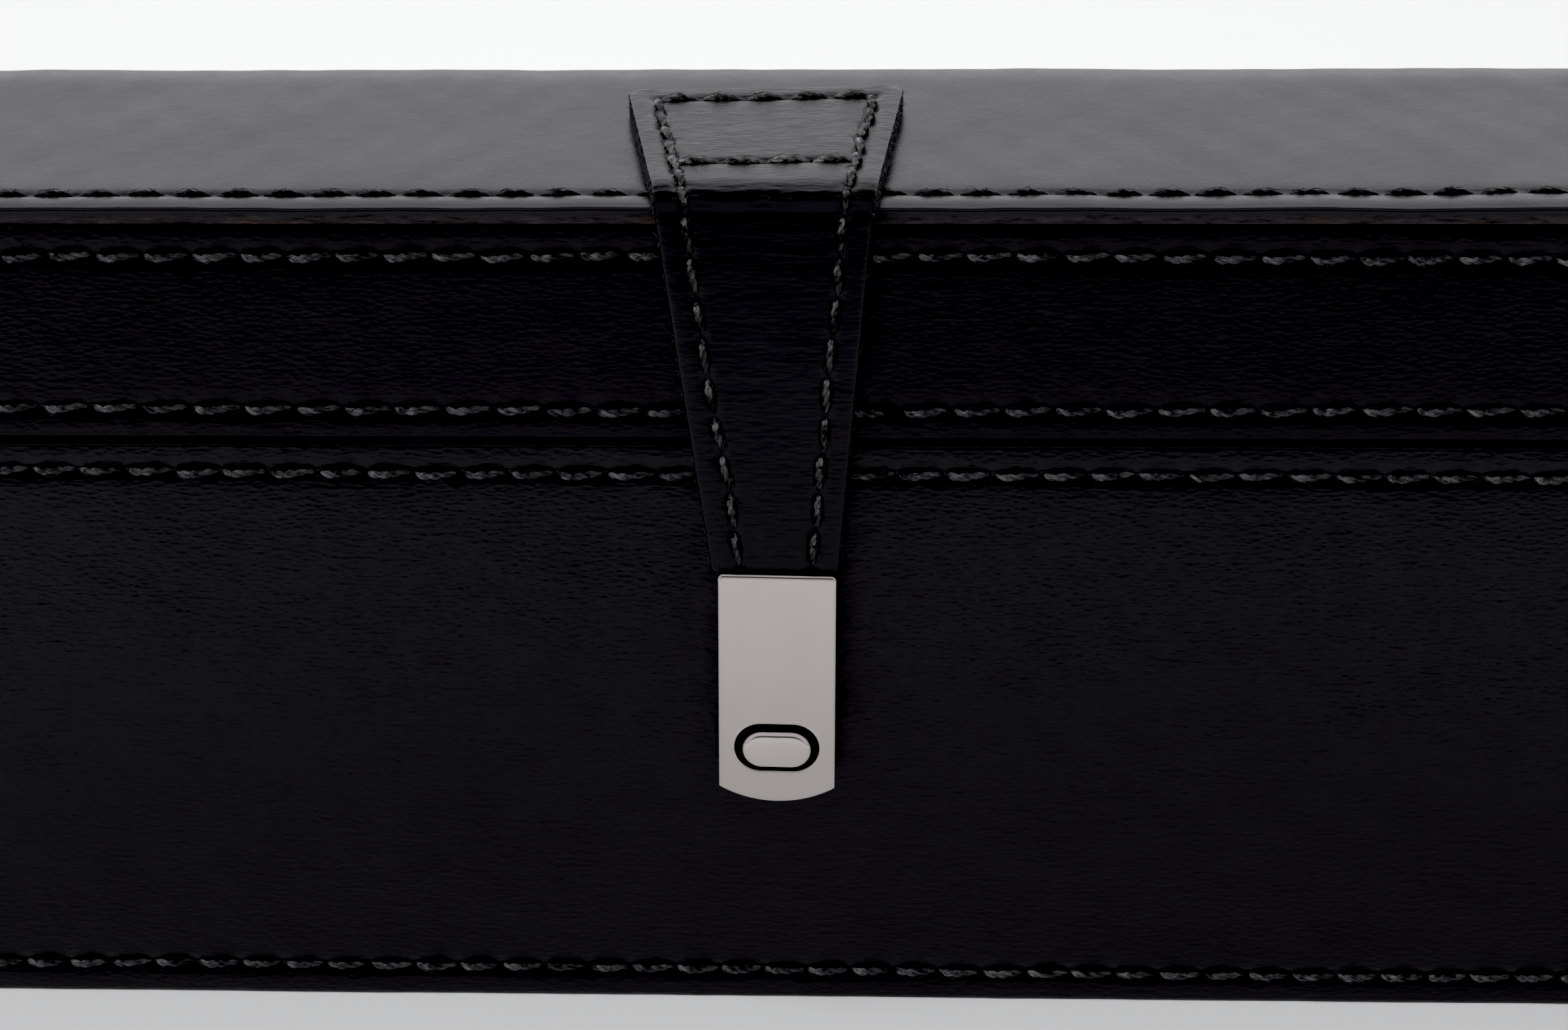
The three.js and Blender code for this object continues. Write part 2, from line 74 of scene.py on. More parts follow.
STITCH_INSET = 4.6
TOP_INSET = 5.4
CLASP_TILT = math.radians(1.1)
STRAP_SKEW = math.radians(2.6)
STRAP_LEAN = 0.6  # the strap's fold lies this far left of its clasp

# ---------- small tools ----------

WAVE_COUNT = 7


def add_object(name, data):
    made = bpy.data.objects.new(name, data)
    bpy.context.scene.collection.objects.link(made)
    return made


def smooth(mesh, sharp=None):
    """Shades a mesh smooth. sharp: edges over this angle stay sharp."""
    mesh.polygons.foreach_set("use_smooth", np.ones(len(mesh.polygons), bool))
    if sharp is not None:
        mesh.set_sharp_from_angle(angle=math.radians(sharp))


def make_object(name, points_mm, faces, materials, body=None, kinds=None, sharp=None):
    """A smooth mesh. kinds: the material number of each face."""
    mesh = bpy.data.meshes.new(name)
    mesh.from_pydata((np.asarray(points_mm, float) * MM).tolist(), [], faces)
    for material in materials:
        mesh.materials.append(material)
    if kinds is not None:
        mesh.polygons.foreach_set("material_index", np.asarray(kinds, np.int32))
    smooth(mesh, sharp)
    mesh.update()
    made = add_object(name, mesh)
    if body:
        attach(made, body)
    return made


def waves(u, v, wavelength, seed):
    """Smooth random relief between about -1 and 1, from plane waves near one wavelength."""
    chosen = np.random.RandomState(seed)
    total = np.zeros(np.broadcast(u, v).shape)
    for _ in range(WAVE_COUNT):
        angle = chosen.uniform(0, math.pi)
        number = 2 * math.pi / (wavelength * chosen.uniform(0.7, 1.5))
        phase = chosen.uniform(0, 2 * math.pi)
        total += np.sin(number * (u * math.cos(angle) + v * math.sin(angle)) + phase)
    return total / math.sqrt(WAVE_COUNT) / 1.5


def grid_faces(rows, columns):
    faces = []
    for i in range(rows - 1):
        for j in range(columns - 1):
            a = i * columns + j
            faces.append((a, a + 1, a + columns + 1, a + columns))
    return faces


def border(rows, columns):
    """The point numbers round the outside of a grid."""
    ring = list(range(columns)) + [i * columns + columns - 1 for i in range(1, rows)]
    ring += [(rows - 1) * columns + j for j in reversed(range(columns - 1))]
    return ring + [i * columns for i in reversed(range(1, rows - 1))]


def bands(loops):
    """Faces between each closed loop of point numbers and the next."""
    faces = []
    for a, b in zip(loops[:-1], loops[1:]):
        for j in range(len(a)):
            k = (j + 1) % len(a)
            faces.append((a[k], a[j], b[j], b[k]))
    return faces


def rounding(gap, radius):
    """How far a rounded edge lies below its face, at a gap from the edge."""
    inside = np.clip(1 - gap / radius, 0, 0.999)
    return radius * (1 - np.sqrt(1 - inside**2))


def swelling(gap, inset):
    """The bulge between an edge and its row of stitches, from 0 to 1."""
    band = np.clip(gap / inset, 0, 1)
    return np.sin(math.pi * band) ** 2 * (band < 1)


def reshape(piece, change):
    """Runs a change on a piece's mesh."""
    made = bmesh.new()
    made.from_mesh(piece.data)
    change(made)
    made.to_mesh(piece.data)
    made.free()


# ---------- camera ----------

LENS = 90.76
AIM = np.array([1.2, top_low[1], top_high[2] - 45.7])  # the point in the middle of the view
DISTANCE = 550.0  # from that point
DOWN, YAW, ROLL = 0.4451, -0.0536, -0.0191  # radians


def make_camera():
    data = bpy.data.cameras.new("camera")
    data.lens = LENS
    data.sensor_width = 36
    data.sensor_fit = "HORIZONTAL"
    data.clip_start = 0.01
    data.clip_end = 50
    camera = add_object("camera", data)
    forward = Vector((math.sin(YAW) * math.cos(DOWN), math.cos(YAW) * math.cos(DOWN), -math.sin(DOWN)))
    right = Vector((math.cos(YAW), -math.sin(YAW), 0))
    up = right.cross(forward)
    across = right * math.cos(ROLL) + up * math.sin(ROLL)
    upward = up * math.cos(ROLL) - right * math.sin(ROLL)
    turn = Matrix((across, upward, -forward)).transposed().to_4x4()
    place = Vector(AIM * MM) - forward * DISTANCE * MM
    camera.matrix_world = Matrix.Translation(place) @ turn
    bpy.context.scene.camera = camera


make_camera()

# ---------- materials ----------

LEATHER_TINT = (0.955, 0.935, 0.985, 1.0)


def new_material(name):
    material = bpy.data.materials.new(name)
    material.use_nodes = True
    return material, material.node_tree.nodes["Principled BSDF"]


def feed(made, inputs):
    """Sets a node's inputs to values, or links other nodes' outputs to them."""
    for key, value in inputs.items():
        if isinstance(value, bpy.types.NodeSocket):
            made.id_data.links.new(value, made.inputs[key])
        else:
            made.inputs[key].default_value = value


def node(near, kind, inputs, output, **settings):
    """Adds a node to the tree that another node or socket is in, and returns one of its outputs."""
    made = near.id_data.nodes.new(kind)
    for key, value in settings.items():
        setattr(made, key, value)
    feed(made, inputs)
    return made.outputs[output]


def coordinates(near, stretch=(1, 1, 1)):
    """Object coordinates in millimetres, stretched."""
    source = node(near, "ShaderNodeTexCoord", {}, "Object")
    scale = [1 / MM / s for s in stretch]
    return node(near, "ShaderNodeMapping", {"Vector": source, "Scale": scale}, "Vector")


def noise(vector, wavelength, detail=3.0, roughness=0.55):
    inputs = {"Vector": vector, "Scale": 1 / wavelength, "Detail": detail, "Roughness": roughness}
    return node(vector, "ShaderNodeTexNoise", inputs, "Fac")


def cells(vector, size):
    return node(vector, "ShaderNodeTexVoronoi", {"Vector": vector, "Scale": 1 / size}, "Distance")


def attribute(near, name, output):
    return node(near, "ShaderNodeAttribute", {}, output, attribute_name=name)


def one_axis(vector, axis):
    return node(vector, "ShaderNodeSeparateXYZ", {"Vector": vector}, axis)


def remap(value, low, high, to_low=0.0, to_high=1.0):
    inputs = {"Value": value, "From Min": low, "From Max": high, "To Min": to_low, "To Max": to_high}
    return node(value, "ShaderNodeMapRange", inputs, "Result")


def arithmetic(operation, a, b):
    return node(a, "ShaderNodeMath", {0: a, 1: b}, "Value", operation=operation)


def colours(value, low, high):
    made = value.id_data.nodes.new("ShaderNodeValToRGB")
    feed(made, {"Fac": value})
    made.color_ramp.elements[0].color = (*low, 1)
    made.color_ramp.elements[1].color = (*high, 1)
    return made.outputs["Color"]


def blend_colours(share, a, b):
    return node(share, "ShaderNodeMix", {"Factor": share, "A": a, "B": b}, "Result", data_type="RGBA")


def bump(shader, heights):
    """Stacks bumps: (height output, depth in mm) pairs."""
    inputs = {"Strength": 1.0}
    for height, depth in heights:
        inputs.update({"Height": height, "Distance": depth * MM})
        inputs["Normal"] = node(shader, "ShaderNodeBump", inputs, "Normal")
    feed(shader, {"Normal": inputs["Normal"]})


def leather(name, dark, light, gloss, pebble, creases, stretch=(1.9, 1.9, 0.8), smears=0.06, shine=0.5):
    """Black glossy hide: pebbled cells, pores, fine creases and soft dents over a near-black dye."""
    material, shader = new_material(name)
    plain = coordinates(shader)
    across = coordinates(shader, stretch)
    smear = noise(plain, 2.6, 4.0)
    inputs = {"Specular Tint": LEATHER_TINT, "Specular IOR Level": shine}
    inputs["Base Color"] = colours(noise(plain, 9.0, 4.0), dark, light)
    inputs["Roughness"] = remap(smear, 0.3, 0.7, gloss - smears, gloss + smears)
    feed(shader, inputs)
    grain = cells(across, 0.75)
    pores = remap(cells(plain, 1.35), 0.0, 0.12)
    fine = noise(across, 0.32, 4.0)
    folds = noise(coordinates(shader, (9, 9, 0.8)), 1.0, 3.0)
    dents = noise(coordinates(shader, (1.5, 1.5, 1)), 3.2, 3.0)
    surface = [(grain, pebble), (pores, 0.05), (fine, pebble * 0.5)]
    bump(shader, surface + [(folds, creases), (dents, creases * 1.5)])
    return material


def raw_edge(name, brown_share, burnish=None):
    """The cut edge of the hide: dyed dark, fibrous, with the undyed brown showing in patches.
    burnish: the heights in mm between which it turns smooth and black."""
    material, shader = new_material(name)
    along = coordinates(shader, (7, 7, 1))
    fibres = remap(noise(along, 0.45, 5.0, 0.7), 0.3, 0.7)
    patch = noise(coordinates(shader, (7, 7, 2.2)), 2.4, 2.0)
    dyed = colours(fibres, (0.004, 0.0038, 0.0042), (0.045, 0.042, 0.045))
    bare = colours(fibres, (0.012, 0.008, 0.0066), (0.085, 0.057, 0.046))
    share = remap(patch, 0.62 - brown_share, 0.78 - brown_share)
    mixed = blend_colours(share, dyed, bare)
    if burnish:
        height = one_axis(coordinates(shader), "Z")
        ragged = arithmetic("ADD", height, arithmetic("MULTIPLY", fibres, 0.8))
        wear_and_glint = remap(ragged, burnish[0] + 0.4, burnish[1] + 0.4)
        mixed = blend_colours(wear_and_glint, mixed, (0.022, 0.021, 0.022, 1))
    feed(shader, {"Base Color": mixed, "Roughness": 0.7, "Specular IOR Level": 0.35})
    bump(shader, [(fibres, 0.14), (noise(coordinates(shader), 0.3, 3.0), 0.06)])
    return material


def thread(name, dark, light, specular):
    """Twisted thread: streaks that follow the fibres, from the coordinates stored on each stitch, paint
    bright fibre glints on the dark thread.
    Each stitch is also paler where it starts, where its plies bulge, and in patches: painted highlights
    where light would catch the plies."""
    material, shader = new_material(name)
    streaks = noise(attribute(shader, "fibre", "Vector"), 0.30, 4.0, 0.7)
    # patches of paler thread colour: painted glints
    wear_and_glint = remap(noise(coordinates(shader), 1.5, 3.0), 0.38, 0.62, 0.12, 1.45)
    # painted highlight: the start of each stitch, where its plies bulge, is paler, as if light caught it
    # there
    bulge = remap(attribute(shader, "share", "Fac"), 0.12, 0.50, 1.75, 0.50)
    wear_and_glint = arithmetic("MULTIPLY", wear_and_glint, bulge)
    # the painted fibre glints, brightest in the patches and at each stitch's start
    lit = arithmetic("MULTIPLY", remap(streaks, 0.40, 0.63), wear_and_glint)
    inputs = {"Roughness": 0.32, "Specular IOR Level": specular}
    inputs["Base Color"] = colours(lit, dark, light)
    feed(shader, inputs)
    bump(shader, [(streaks, 0.32)])
    return material


def metal(name, colour, gloss, ripple=0.004, wear_and_glint=0.05):
    material, shader = new_material(name)
    plain = coordinates(shader)
    low = tuple(c * 0.94 for c in colour)
    smear = noise(coordinates(shader, (1, 1, 4)), 0.8, 4.0)
    inputs = {"Metallic": 1.0, "Base Color": colours(noise(plain, 6.0, 3.0), low, colour)}
    inputs["Roughness"] = remap(smear, 0.3, 0.75, gloss, gloss + wear_and_glint)
    feed(shader, inputs)
    scratches = noise(coordinates(shader, (0.25, 0.25, 6)), 0.35, 2.0)
    bump(shader, [(noise(plain, 1.6, 2.0), ripple), (scratches, ripple * 0.2)])
    return material


def suede(name, dark, light):
    material, shader = new_material(name)
    plain = coordinates(shader)
    brushed = noise(plain, 5.0, 4.0)
    nap = noise(plain, 0.22, 4.0, 0.7)
    broad = arithmetic("MULTIPLY", brushed, 0.6)
    fine = arithmetic("MULTIPLY", nap, 0.4)
    mixed = remap(arithmetic("ADD", broad, fine), 0.3, 0.7)
    inputs = {"Base Color": colours(mixed, dark, light), "Roughness": 0.95}
    inputs.update({"Specular IOR Level": 0.15, "Sheen Weight": 0.35, "Sheen Roughness": 0.5})
    feed(shader, inputs)
    bump(shader, [(nap, 0.09), (brushed, 0.15)])
    return material


def wrapped_board(name):
    material, shader = new_material(name)
    weave = noise(coordinates(shader, (3, 3, 0.7)), 0.4, 3.0)
    shade = colours(weave, (0.010, 0.009, 0.009), (0.03, 0.026, 0.025))
    feed(shader, {"Base Color": shade, "Roughness": 0.8})
    bump(shader, [(weave, 0.05)])
    return material


top_leather = leather(
    "leather_top", (0.002, 0.002, 0.003), (0.005, 0.005, 0.006), 0.28, 0.014, 0.005, (1, 1, 1), 0.02
)
base_leather = leather(
    "leather_base", (0.0010, 0.0010, 0.0012), (0.0034, 0.0033, 0.0037), 0.34, 0.075, 0.05, shine=0.45
)
# a darker, less shiny copy of the base leather for the lid's walls: painted shade, so that the lid comes
# out darker than the base
lid_leather = leather(
    "leather_lid_painted_shade", (0.0004, 0.0004, 0.0006), (0.0012, 0.0011, 0.0015), 0.33, 0.065, 0.04, shine=0.40
)
strap_leather = leather(
    "leather_strap", (0.0006, 0.0006, 0.0008), (0.0018, 0.0018, 0.0022), 0.28, 0.040, 0.05,
    (3, 0.8, 0.8), 0.03, 0.41,
)
panel_edge = raw_edge("leather_edge", -0.2)
top_edge = raw_edge("leather_edge_top", 0.055, (top_high[2] - 1.5, top_high[2] - 1.0))
strap_edge = raw_edge("leather_edge_strap", 0.06)
black_thread = thread("thread_black", (0.003, 0.003, 0.0035), (0.185, 0.182, 0.186), 0.9)
# a darker copy of the black thread for the rows on the lid's top: painted shade, as if the thread lay in
# shadow in its groove
shaded_top_thread = thread("thread_top_painted_shade", (0.001, 0.001, 0.0012), (0.06, 0.059, 0.061), 0.4)
strap_thread = thread("thread_strap", (0.004, 0.004, 0.004), (0.22, 0.216, 0.217), 0.6)
# a paler copy of the strap thread for the stitches on the strap's flat part and its front cross row:
# painted highlight, as if more light fell on them; also used for the fuzz on the strap's cut edges
painted_highlight_thread = thread("thread_painted_highlight", (0.012, 0.012, 0.012), (0.50, 0.49, 0.49), 0.9)
nickel = metal("nickel", (0.592, 0.545, 0.524), 0.09)
button_nickel = metal("nickel_button", (0.645, 0.602, 0.580), 0.14, 0.02)
# a near-black copy of the nickel for the deep wall of the button's hole, the plate's hollow back and the
# button's flange: painted shade in the recess
shaded_nickel = metal("nickel_painted_shade", (0.03, 0.029, 0.029), 0.45)
dull_steel = metal("steel", (0.42, 0.42, 0.43), 0.28)
lining_suede = suede("suede_lining", (0.020, 0.006, 0.007), (0.055, 0.018, 0.019))
insert_suede = suede("suede_insert", (0.016, 0.005, 0.006), (0.045, 0.015, 0.016))
board_cover = wrapped_board("board_cover")

# ---------- stitches ----------

PLY = 0.27  # radius of one ply of the thread
PLY_OFFSET = 0.20
HAIR = 0.034  # radius of a stray fibre
HAIRS = 11  # on each fine stitch
CURL_CHANCE = 0.35


class Stitches:
    """Collects the thread of one body as one mesh: two twisted plies a stitch, with stray fibres."""

    def __init__(self):
        self.points, self.marks, self.shares, self.faces = [], [], [], []

    def tube(self, centres, radii, sides, twist=0.0):
        """A closed tube along a path. Its fibre coordinates turn with the twist."""
        count = len(centres)
        steps = np.diff(centres, axis=0)
        distance = np.concatenate([[0], np.cumsum(np.linalg.norm(steps, axis=1))])
        tangents = np.gradient(centres, axis=0)
        tangents /= np.linalg.norm(tangents, axis=1)[:, None]
        across = np.cross(tangents, (0.31, 0.43, 0.85))
        across /= np.linalg.norm(across, axis=1)[:, None]
        upward = np.cross(across, tangents)
        angles = np.linspace(0, 2 * math.pi, sides, endpoint=False)
        ring = np.cos(angles)[:, None] * across[:, None] + np.sin(angles)[:, None] * upward[:, None]
        ring = centres[:, None] + np.asarray(radii)[:, None, None] * ring
        turned = angles[None] - twist * np.linspace(0, 1, count)[:, None]
        along = np.broadcast_to((distance * 0.12 + dice.uniform(0, 500))[:, None], turned.shape)
        first = len(self.points)
        self.points.extend(ring.reshape(-1, 3).tolist())
        self.marks.extend(np.stack([along, np.cos(turned), np.sin(turned)], -1).reshape(-1, 3).tolist())
        self.shares.extend(np.repeat(np.linspace(0, 1, count), sides).tolist())
        loops = first + np.arange(count * sides).reshape(count, sides)
        self.faces.extend(bands(loops.tolist()))
        self.faces.append(tuple(loops[0].tolist()))
        self.faces.append(tuple(reversed(loops[-1].tolist())))

    def stitch(self, path, normals, slant, size, sink=0.0):
        """One stitch along a path on the leather, given with the leather's normal at each point."""
        along = path[-1] - path[0]
        fine = len(path) > 10
        side = np.cross(normals, along)
        side /= np.linalg.norm(side, axis=1)[:, None]
        t = np.linspace(0, 1, len(path))
        arch = np.sin(math.pi * np.clip(t, 0.001, 0.999)) ** 0.45
        size *= dice.uniform(0.92, 1.08)
        spread = size * (1.2 - 0.4 * t) * (0.38 + 0.62 * arch)
        sway = slant * (2 * t - 1) * np.minimum(1, 5 * np.minimum(t, 1 - t)) + dice.normal(0, 0.06)
        lift = size * (0.80 * arch - 0.50) - sink
        middle = path + side * sway[:, None] + normals * lift[:, None]
        turns = dice.uniform(1.5, 2.0) * 2 * math.pi
        turn = turns * t + dice.uniform(0, 2 * math.pi)
        for ply in (0, math.pi):
            place = side * np.cos(turn + ply)[:, None] + 0.75 * normals * np.sin(turn + ply)[:, None]
            centres = middle + place * (PLY_OFFSET * spread)[:, None]
            self.tube(centres, PLY * spread, 7 if fine else 5, turns)
        if fine:
            for _ in range(HAIRS):
                self.hair(middle, side, normals, size)
            if dice.uniform() < CURL_CHANCE:
                k = dice.randint(1, 14)
                self.curl(middle[k], along, side[k], normals[k])

    def hair(self, middle, side, normals, size):
        """A fibre that lies along the twist and lifts off at its ends."""
        first = dice.randint(0, 9)
        count = dice.randint(4, 7)
        picked, side, normal = (a[first:first + count] for a in (middle, side, normals))
        bend = np.linspace(-1, 1, len(picked))
        angle = dice.uniform(0.1, 1.0) * math.pi + bend * dice.uniform(0.4, 0.9)
        reach = size * (0.46 + 0.10 * dice.uniform() + 0.14 * bend**2)
        place = side * (np.cos(angle) * reach)[:, None] + normal * (np.abs(np.sin(angle)) * reach)[:, None]
        self.tube(picked + place, HAIR * (1.1 - 0.5 * np.abs(bend)), 3)

    def curl(self, root, along, side, normal):
        """A loose fibre that stands off the stitch."""
        heading = along / np.linalg.norm(along) * dice.uniform(-1, 1) + side * dice.uniform(-0.8, 0.8)
        length = dice.uniform(0.8, 2.4)
        t = np.linspace(0, 1, 6)[:, None]
        sideways = side * dice.uniform(-0.6, 0.6) * t**2 * length
        path = root + heading * length * t + normal * (0.45 * np.sin(math.pi * t) + 0.4) + sideways
        self.tube(path, np.full(6, HAIR * 0.8), 3)

    def finish(self, name, material, body):
        made = make_object(name, self.points, self.faces, [material], body)
        marks = made.data.attributes.new("fibre", "FLOAT_VECTOR", "POINT")
        marks.data.foreach_set("vector", np.array(self.marks, np.float32).ravel())
        shares = made.data.attributes.new("share", "FLOAT", "POINT")
        shares.data.foreach_set("value", np.array(self.shares, np.float32))
        return made


class Row:
    """A straight row of stitches on a panel, from one (u, v) point to another."""

    def __init__(self, start, end, pitch, slant, fine, sink=0.0, groove=1.0):
        self.start = np.array(start, float)
        self.length = np.linalg.norm(end - self.start)
        self.along = (end - self.start) / self.length
        self.slant, self.fine, self.sink, self.groove = slant, fine, sink, groove
        count = max(2, round(self.length / pitch))
        steps = np.linspace(0, self.length, count + 1)
        steps[1:-1] += dice.normal(0, 0.12, count - 1)
        drift = 0.18 * np.sin(steps / 37 + dice.uniform(0, 6)) + dice.normal(0, 0.06, count + 1)
        self.across = np.array([-self.along[1], self.along[0]])
        self.holes = self.start + steps[:, None] * self.along + drift[:, None] * self.across

    def relief(self, u, v):
        """The groove and the needle holes, in millimetres, 0 or below."""
        du, dv = u - self.start[0], v - self.start[1]
        along = du * self.along[0] + dv * self.along[1]
        across = du * self.across[0] + dv * self.across[1]
        over = np.maximum(0, np.maximum(-along, along - self.length))
        groove = -0.34 * np.exp(-((across / 0.85) ** 2)) * np.exp(-((over / 0.8) ** 2))
        groove -= 0.14 * np.exp(-((across / 2.2) ** 2)) * np.exp(-((over / 1.5) ** 2))
        pit = np.zeros_like(groove)
        near = (np.abs(across) < 2.5) & (over < 2)
        for hole in self.holes:
            close = near & (np.abs(u - hole[0]) < 2) & (np.abs(v - hole[1]) < 2)
            if close.any():
                gap = (u[close] - hole[0]) ** 2 + (v[close] - hole[1]) ** 2
                pit[close] -= 0.34 * np.exp(-gap / 0.30) + 0.10 * np.exp(-gap / 2.0)
        return self.groove * groove + pit


# ---------- leather panels ----------

# the directions of each face: along it, up it and out of it
FACES = {
    "front": ((1, 0, 0), (0, 0, 1), (0, -1, 0)),
    "back": ((-1, 0, 0), (0, 0, 1), (0, 1, 0)),
    "left": ((0, -1, 0), (0, 0, 1), (-1, 0, 0)),
    "right": ((0, 1, 0), (0, 0, 1), (1, 0, 0)),
    "top": ((1, 0, 0), (0, 1, 0), (0, 0, 1)),
    "bottom": ((1, 0, 0), (0, -1, 0), (0, 0, -1)),
}

EDGE_STEPS = (0.06, 0.18, 0.36, 0.6, 0.95, 1.5)  # grid lines near an edge, and on both sides of a row
ROW_STEPS = (0.3, 0.6, 1.0, 1.6, 2.4)
LEAST_STEP = 0.045
REAR_CURVE, REAR_DROP = 12.0, 1.3  # the lid's top curves down towards the hinges
FRONT_CURVE, FRONT_DROP = 4.4, 0.22
HIGHEST = 0.35  # the face of a panel stays within this height of the CAD face
RIM_STEPS = (0.25, 0.5, 0.75, 1.0)
HOLE_SINK = 0.24  # how deep the thread starts in its needle holes
TOP_STITCH, WALL_STITCH = 1.05, 1.28  # thickness of the thread on the lid's top and on the walls


def lines(length, step, rows):
    """Grid lines along one side: even, and closer at both edges and along the rows."""
    marks = list(np.arange(0, length, step)) + [length]
    for offset in EDGE_STEPS:
        marks += [offset, length - offset]
    for row in rows:
        marks += [row] + [row + side * offset for side in (-1, 1) for offset in ROW_STEPS]
    marks = np.unique(np.round([m for m in marks if 0 <= m <= length], 3))
    keep = [marks[0]]
    for mark in marks[1:-1]:
        if mark - keep[-1] > LEAST_STEP and length - mark > LEAST_STEP:
            keep.append(mark)
    return np.array(keep + [marks[-1]])


def panel_relief(u, v, length, height, rows, round_edges, swell, seed):
    """Height of a panel's face above its CAD face, in millimetres."""
    relief = 0.10 * waves(u, v, 34, seed) + 0.040 * waves(u, v, 9, seed + 50)
    relief += 0.012 * waves(u / 2.5, v, 2.6, seed + 60)
    if not rows:
        relief -= 0.25
    for row in rows:
        relief += row.relief(u, v)
    gaps = (u, length - u, v, height - v)
    relief += swell * swelling(np.minimum.reduce(gaps), STITCH_INSET)
    for gap, radius in zip(gaps, round_edges):
        relief -= rounding(gap, radius)
    return relief


def panel_size(part, face):
    """Length, height and thickness of a panel in its face's directions."""
    low, high = box_mm(f"{part}_leather_{face}")
    return [abs((high - low) @ axis) for axis in FACES[face]]


def panel(part, face, rows, materials, round_edges, swell=0.22, step=1.1, seed=1, thread_set=None):
    """A stitched leather panel in the place of a CAD one. round_edges: low u, high u, low v, high v."""
    source = f"{part}_leather_{face}"
    along, upward, outward = (np.array(a, float) for a in FACES[face])
    length, height, thickness = panel_size(part, face)
    centre = sum(box_mm(source)) / 2
    corner = centre + outward * thickness / 2 - along * length / 2 - upward * height / 2
    u_rows = sorted({round(r.start[0], 3) for r in rows if abs(r.along[0]) < 0.5})
    v_rows = sorted({round(r.start[1], 3) for r in rows if abs(r.along[1]) < 0.5})
    u, v = np.meshgrid(lines(length, step, u_rows), lines(height, step * 1.3, v_rows))
    relief = panel_relief(u, v, length, height, rows, round_edges, swell, seed)
    if face == "top":
        relief -= REAR_DROP * np.clip(1 - (height - v) / REAR_CURVE, 0, 1) ** 3
        relief -= FRONT_DROP * np.clip(1 - v / FRONT_CURVE, 0, 1) ** 2
    relief = np.clip(relief, -0.85 * thickness, HIGHEST)
    points = corner + u[..., None] * along + v[..., None] * upward + relief[..., None] * outward
    points = points.reshape(-1, 3)
    faces = grid_faces(*u.shape)
    ring = border(*u.shape)
    rim = points[ring]
    depth = thickness + (rim - corner) @ outward
    inward = np.sign(centre - rim) * rim_mask(rim, corner, along, upward, length, height)
    layers, loops = [points], [ring]
    for share in RIM_STEPS:
        wander = waves(rim @ along, rim @ upward + share * 3, 2.6, seed + 90) * 0.06
        ragged = (0.03 + np.abs(wander)) * (1 if share < 1 else 1.6)
        layers.append(rim - outward * (depth * share)[:, None] + inward * ragged[:, None])
        start = len(points) + (len(loops) - 1) * len(ring)
        loops.append(list(range(start, start + len(ring))))
    wall = bands(loops) + [tuple(reversed(loops[-1]))]
    kinds = [0] * len(faces) + [1] * len(wall)
    name = "base_underside" if face == "bottom" else f"{part}_{face}"
    made = make_object(name, np.concatenate(layers), faces + wall, materials, part, kinds, 50)
    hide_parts(source)
    size = TOP_STITCH if thread_set else WALL_STITCH
    for row in rows:
        share = np.linspace(0.04, 0.96, 15 if row.fine else 8)[:, None]
        for start, end in zip(row.holes[:-1], row.holes[1:]):
            a, b = (corner + p[0] * along + p[1] * upward - HOLE_SINK * outward for p in (start, end))
            path = a + (b - a) * share
            normals = np.broadcast_to(outward, path.shape)
            threads[thread_set or part].stitch(path, normals, row.slant, size, row.sink)


def rim_mask(points, corner, along, upward, length, height):
    """Which way each rim point may move inwards: only off the side that it lies on."""
    u = (points - corner) @ along
    v = (points - corner) @ upward
    on_u = (np.abs(u) < 1e-6) | (np.abs(u - length) < 1e-6)
    on_v = (np.abs(v) < 1e-6) | (np.abs(v - height) < 1e-6)
    return on_u[:, None] * np.abs(along) + on_v[:, None] * np.abs(upward)


def loop_rows(length, height, low, high, side, pitches, slants, fine):
    """Four rows round a panel. low and high are a row's inset at its left and its right end."""
    a, b = (side, low[0]), (length - side, low[1])
    c, d = (side, height - high[0]), (length - side, height - high[1])
    ends = ((a, b, 0), (c, d, 1), (a, c, 2), (b, d, 2))
    return [Row(start, end, pitches[n], slants[n], fine and n < 2) for start, end, n in ends]


threads = {name: Stitches() for name in ("base", "lid", "top", "strap", "strap_top")}
BASE_PITCHES, BASE_SLANTS = (6.46, 6.7, 6.6), (0.25, 0.40, 0.3)
LID_PITCHES, LID_SLANTS = (6.98, 6.6, 6.6), (0.50, 0.46, 0.3)
TOP_PITCH = 6.28
END_INSET = 2.2  # the upright rows on the end panels
TOP_ROW_INSETS = (4.8, 6.6)  # the front row's inset at the left and the right end of the lid's top


def make_walls(part, skin, pitches, slants, low, high, soft, front_low, front_high, swell, seed):
    """The front, back and end panels of the base or the lid."""
    for number, face in enumerate(("front", "back", "left", "right")):
        seen = face == "front"
        insets = (front_low, front_high) if seen else ((low, low), (high, high))
        side = STITCH_INSET if number < 2 else END_INSET
        rows = loop_rows(*panel_size(part, face)[:2], *insets, side, pitches, slants, seen)
        edges = soft if number < 2 else (0.3, 0.3, *soft[2:])
        panel(part, face, rows, skin, edges, swell if seen else 0.22, seed=seed + 2 * number)


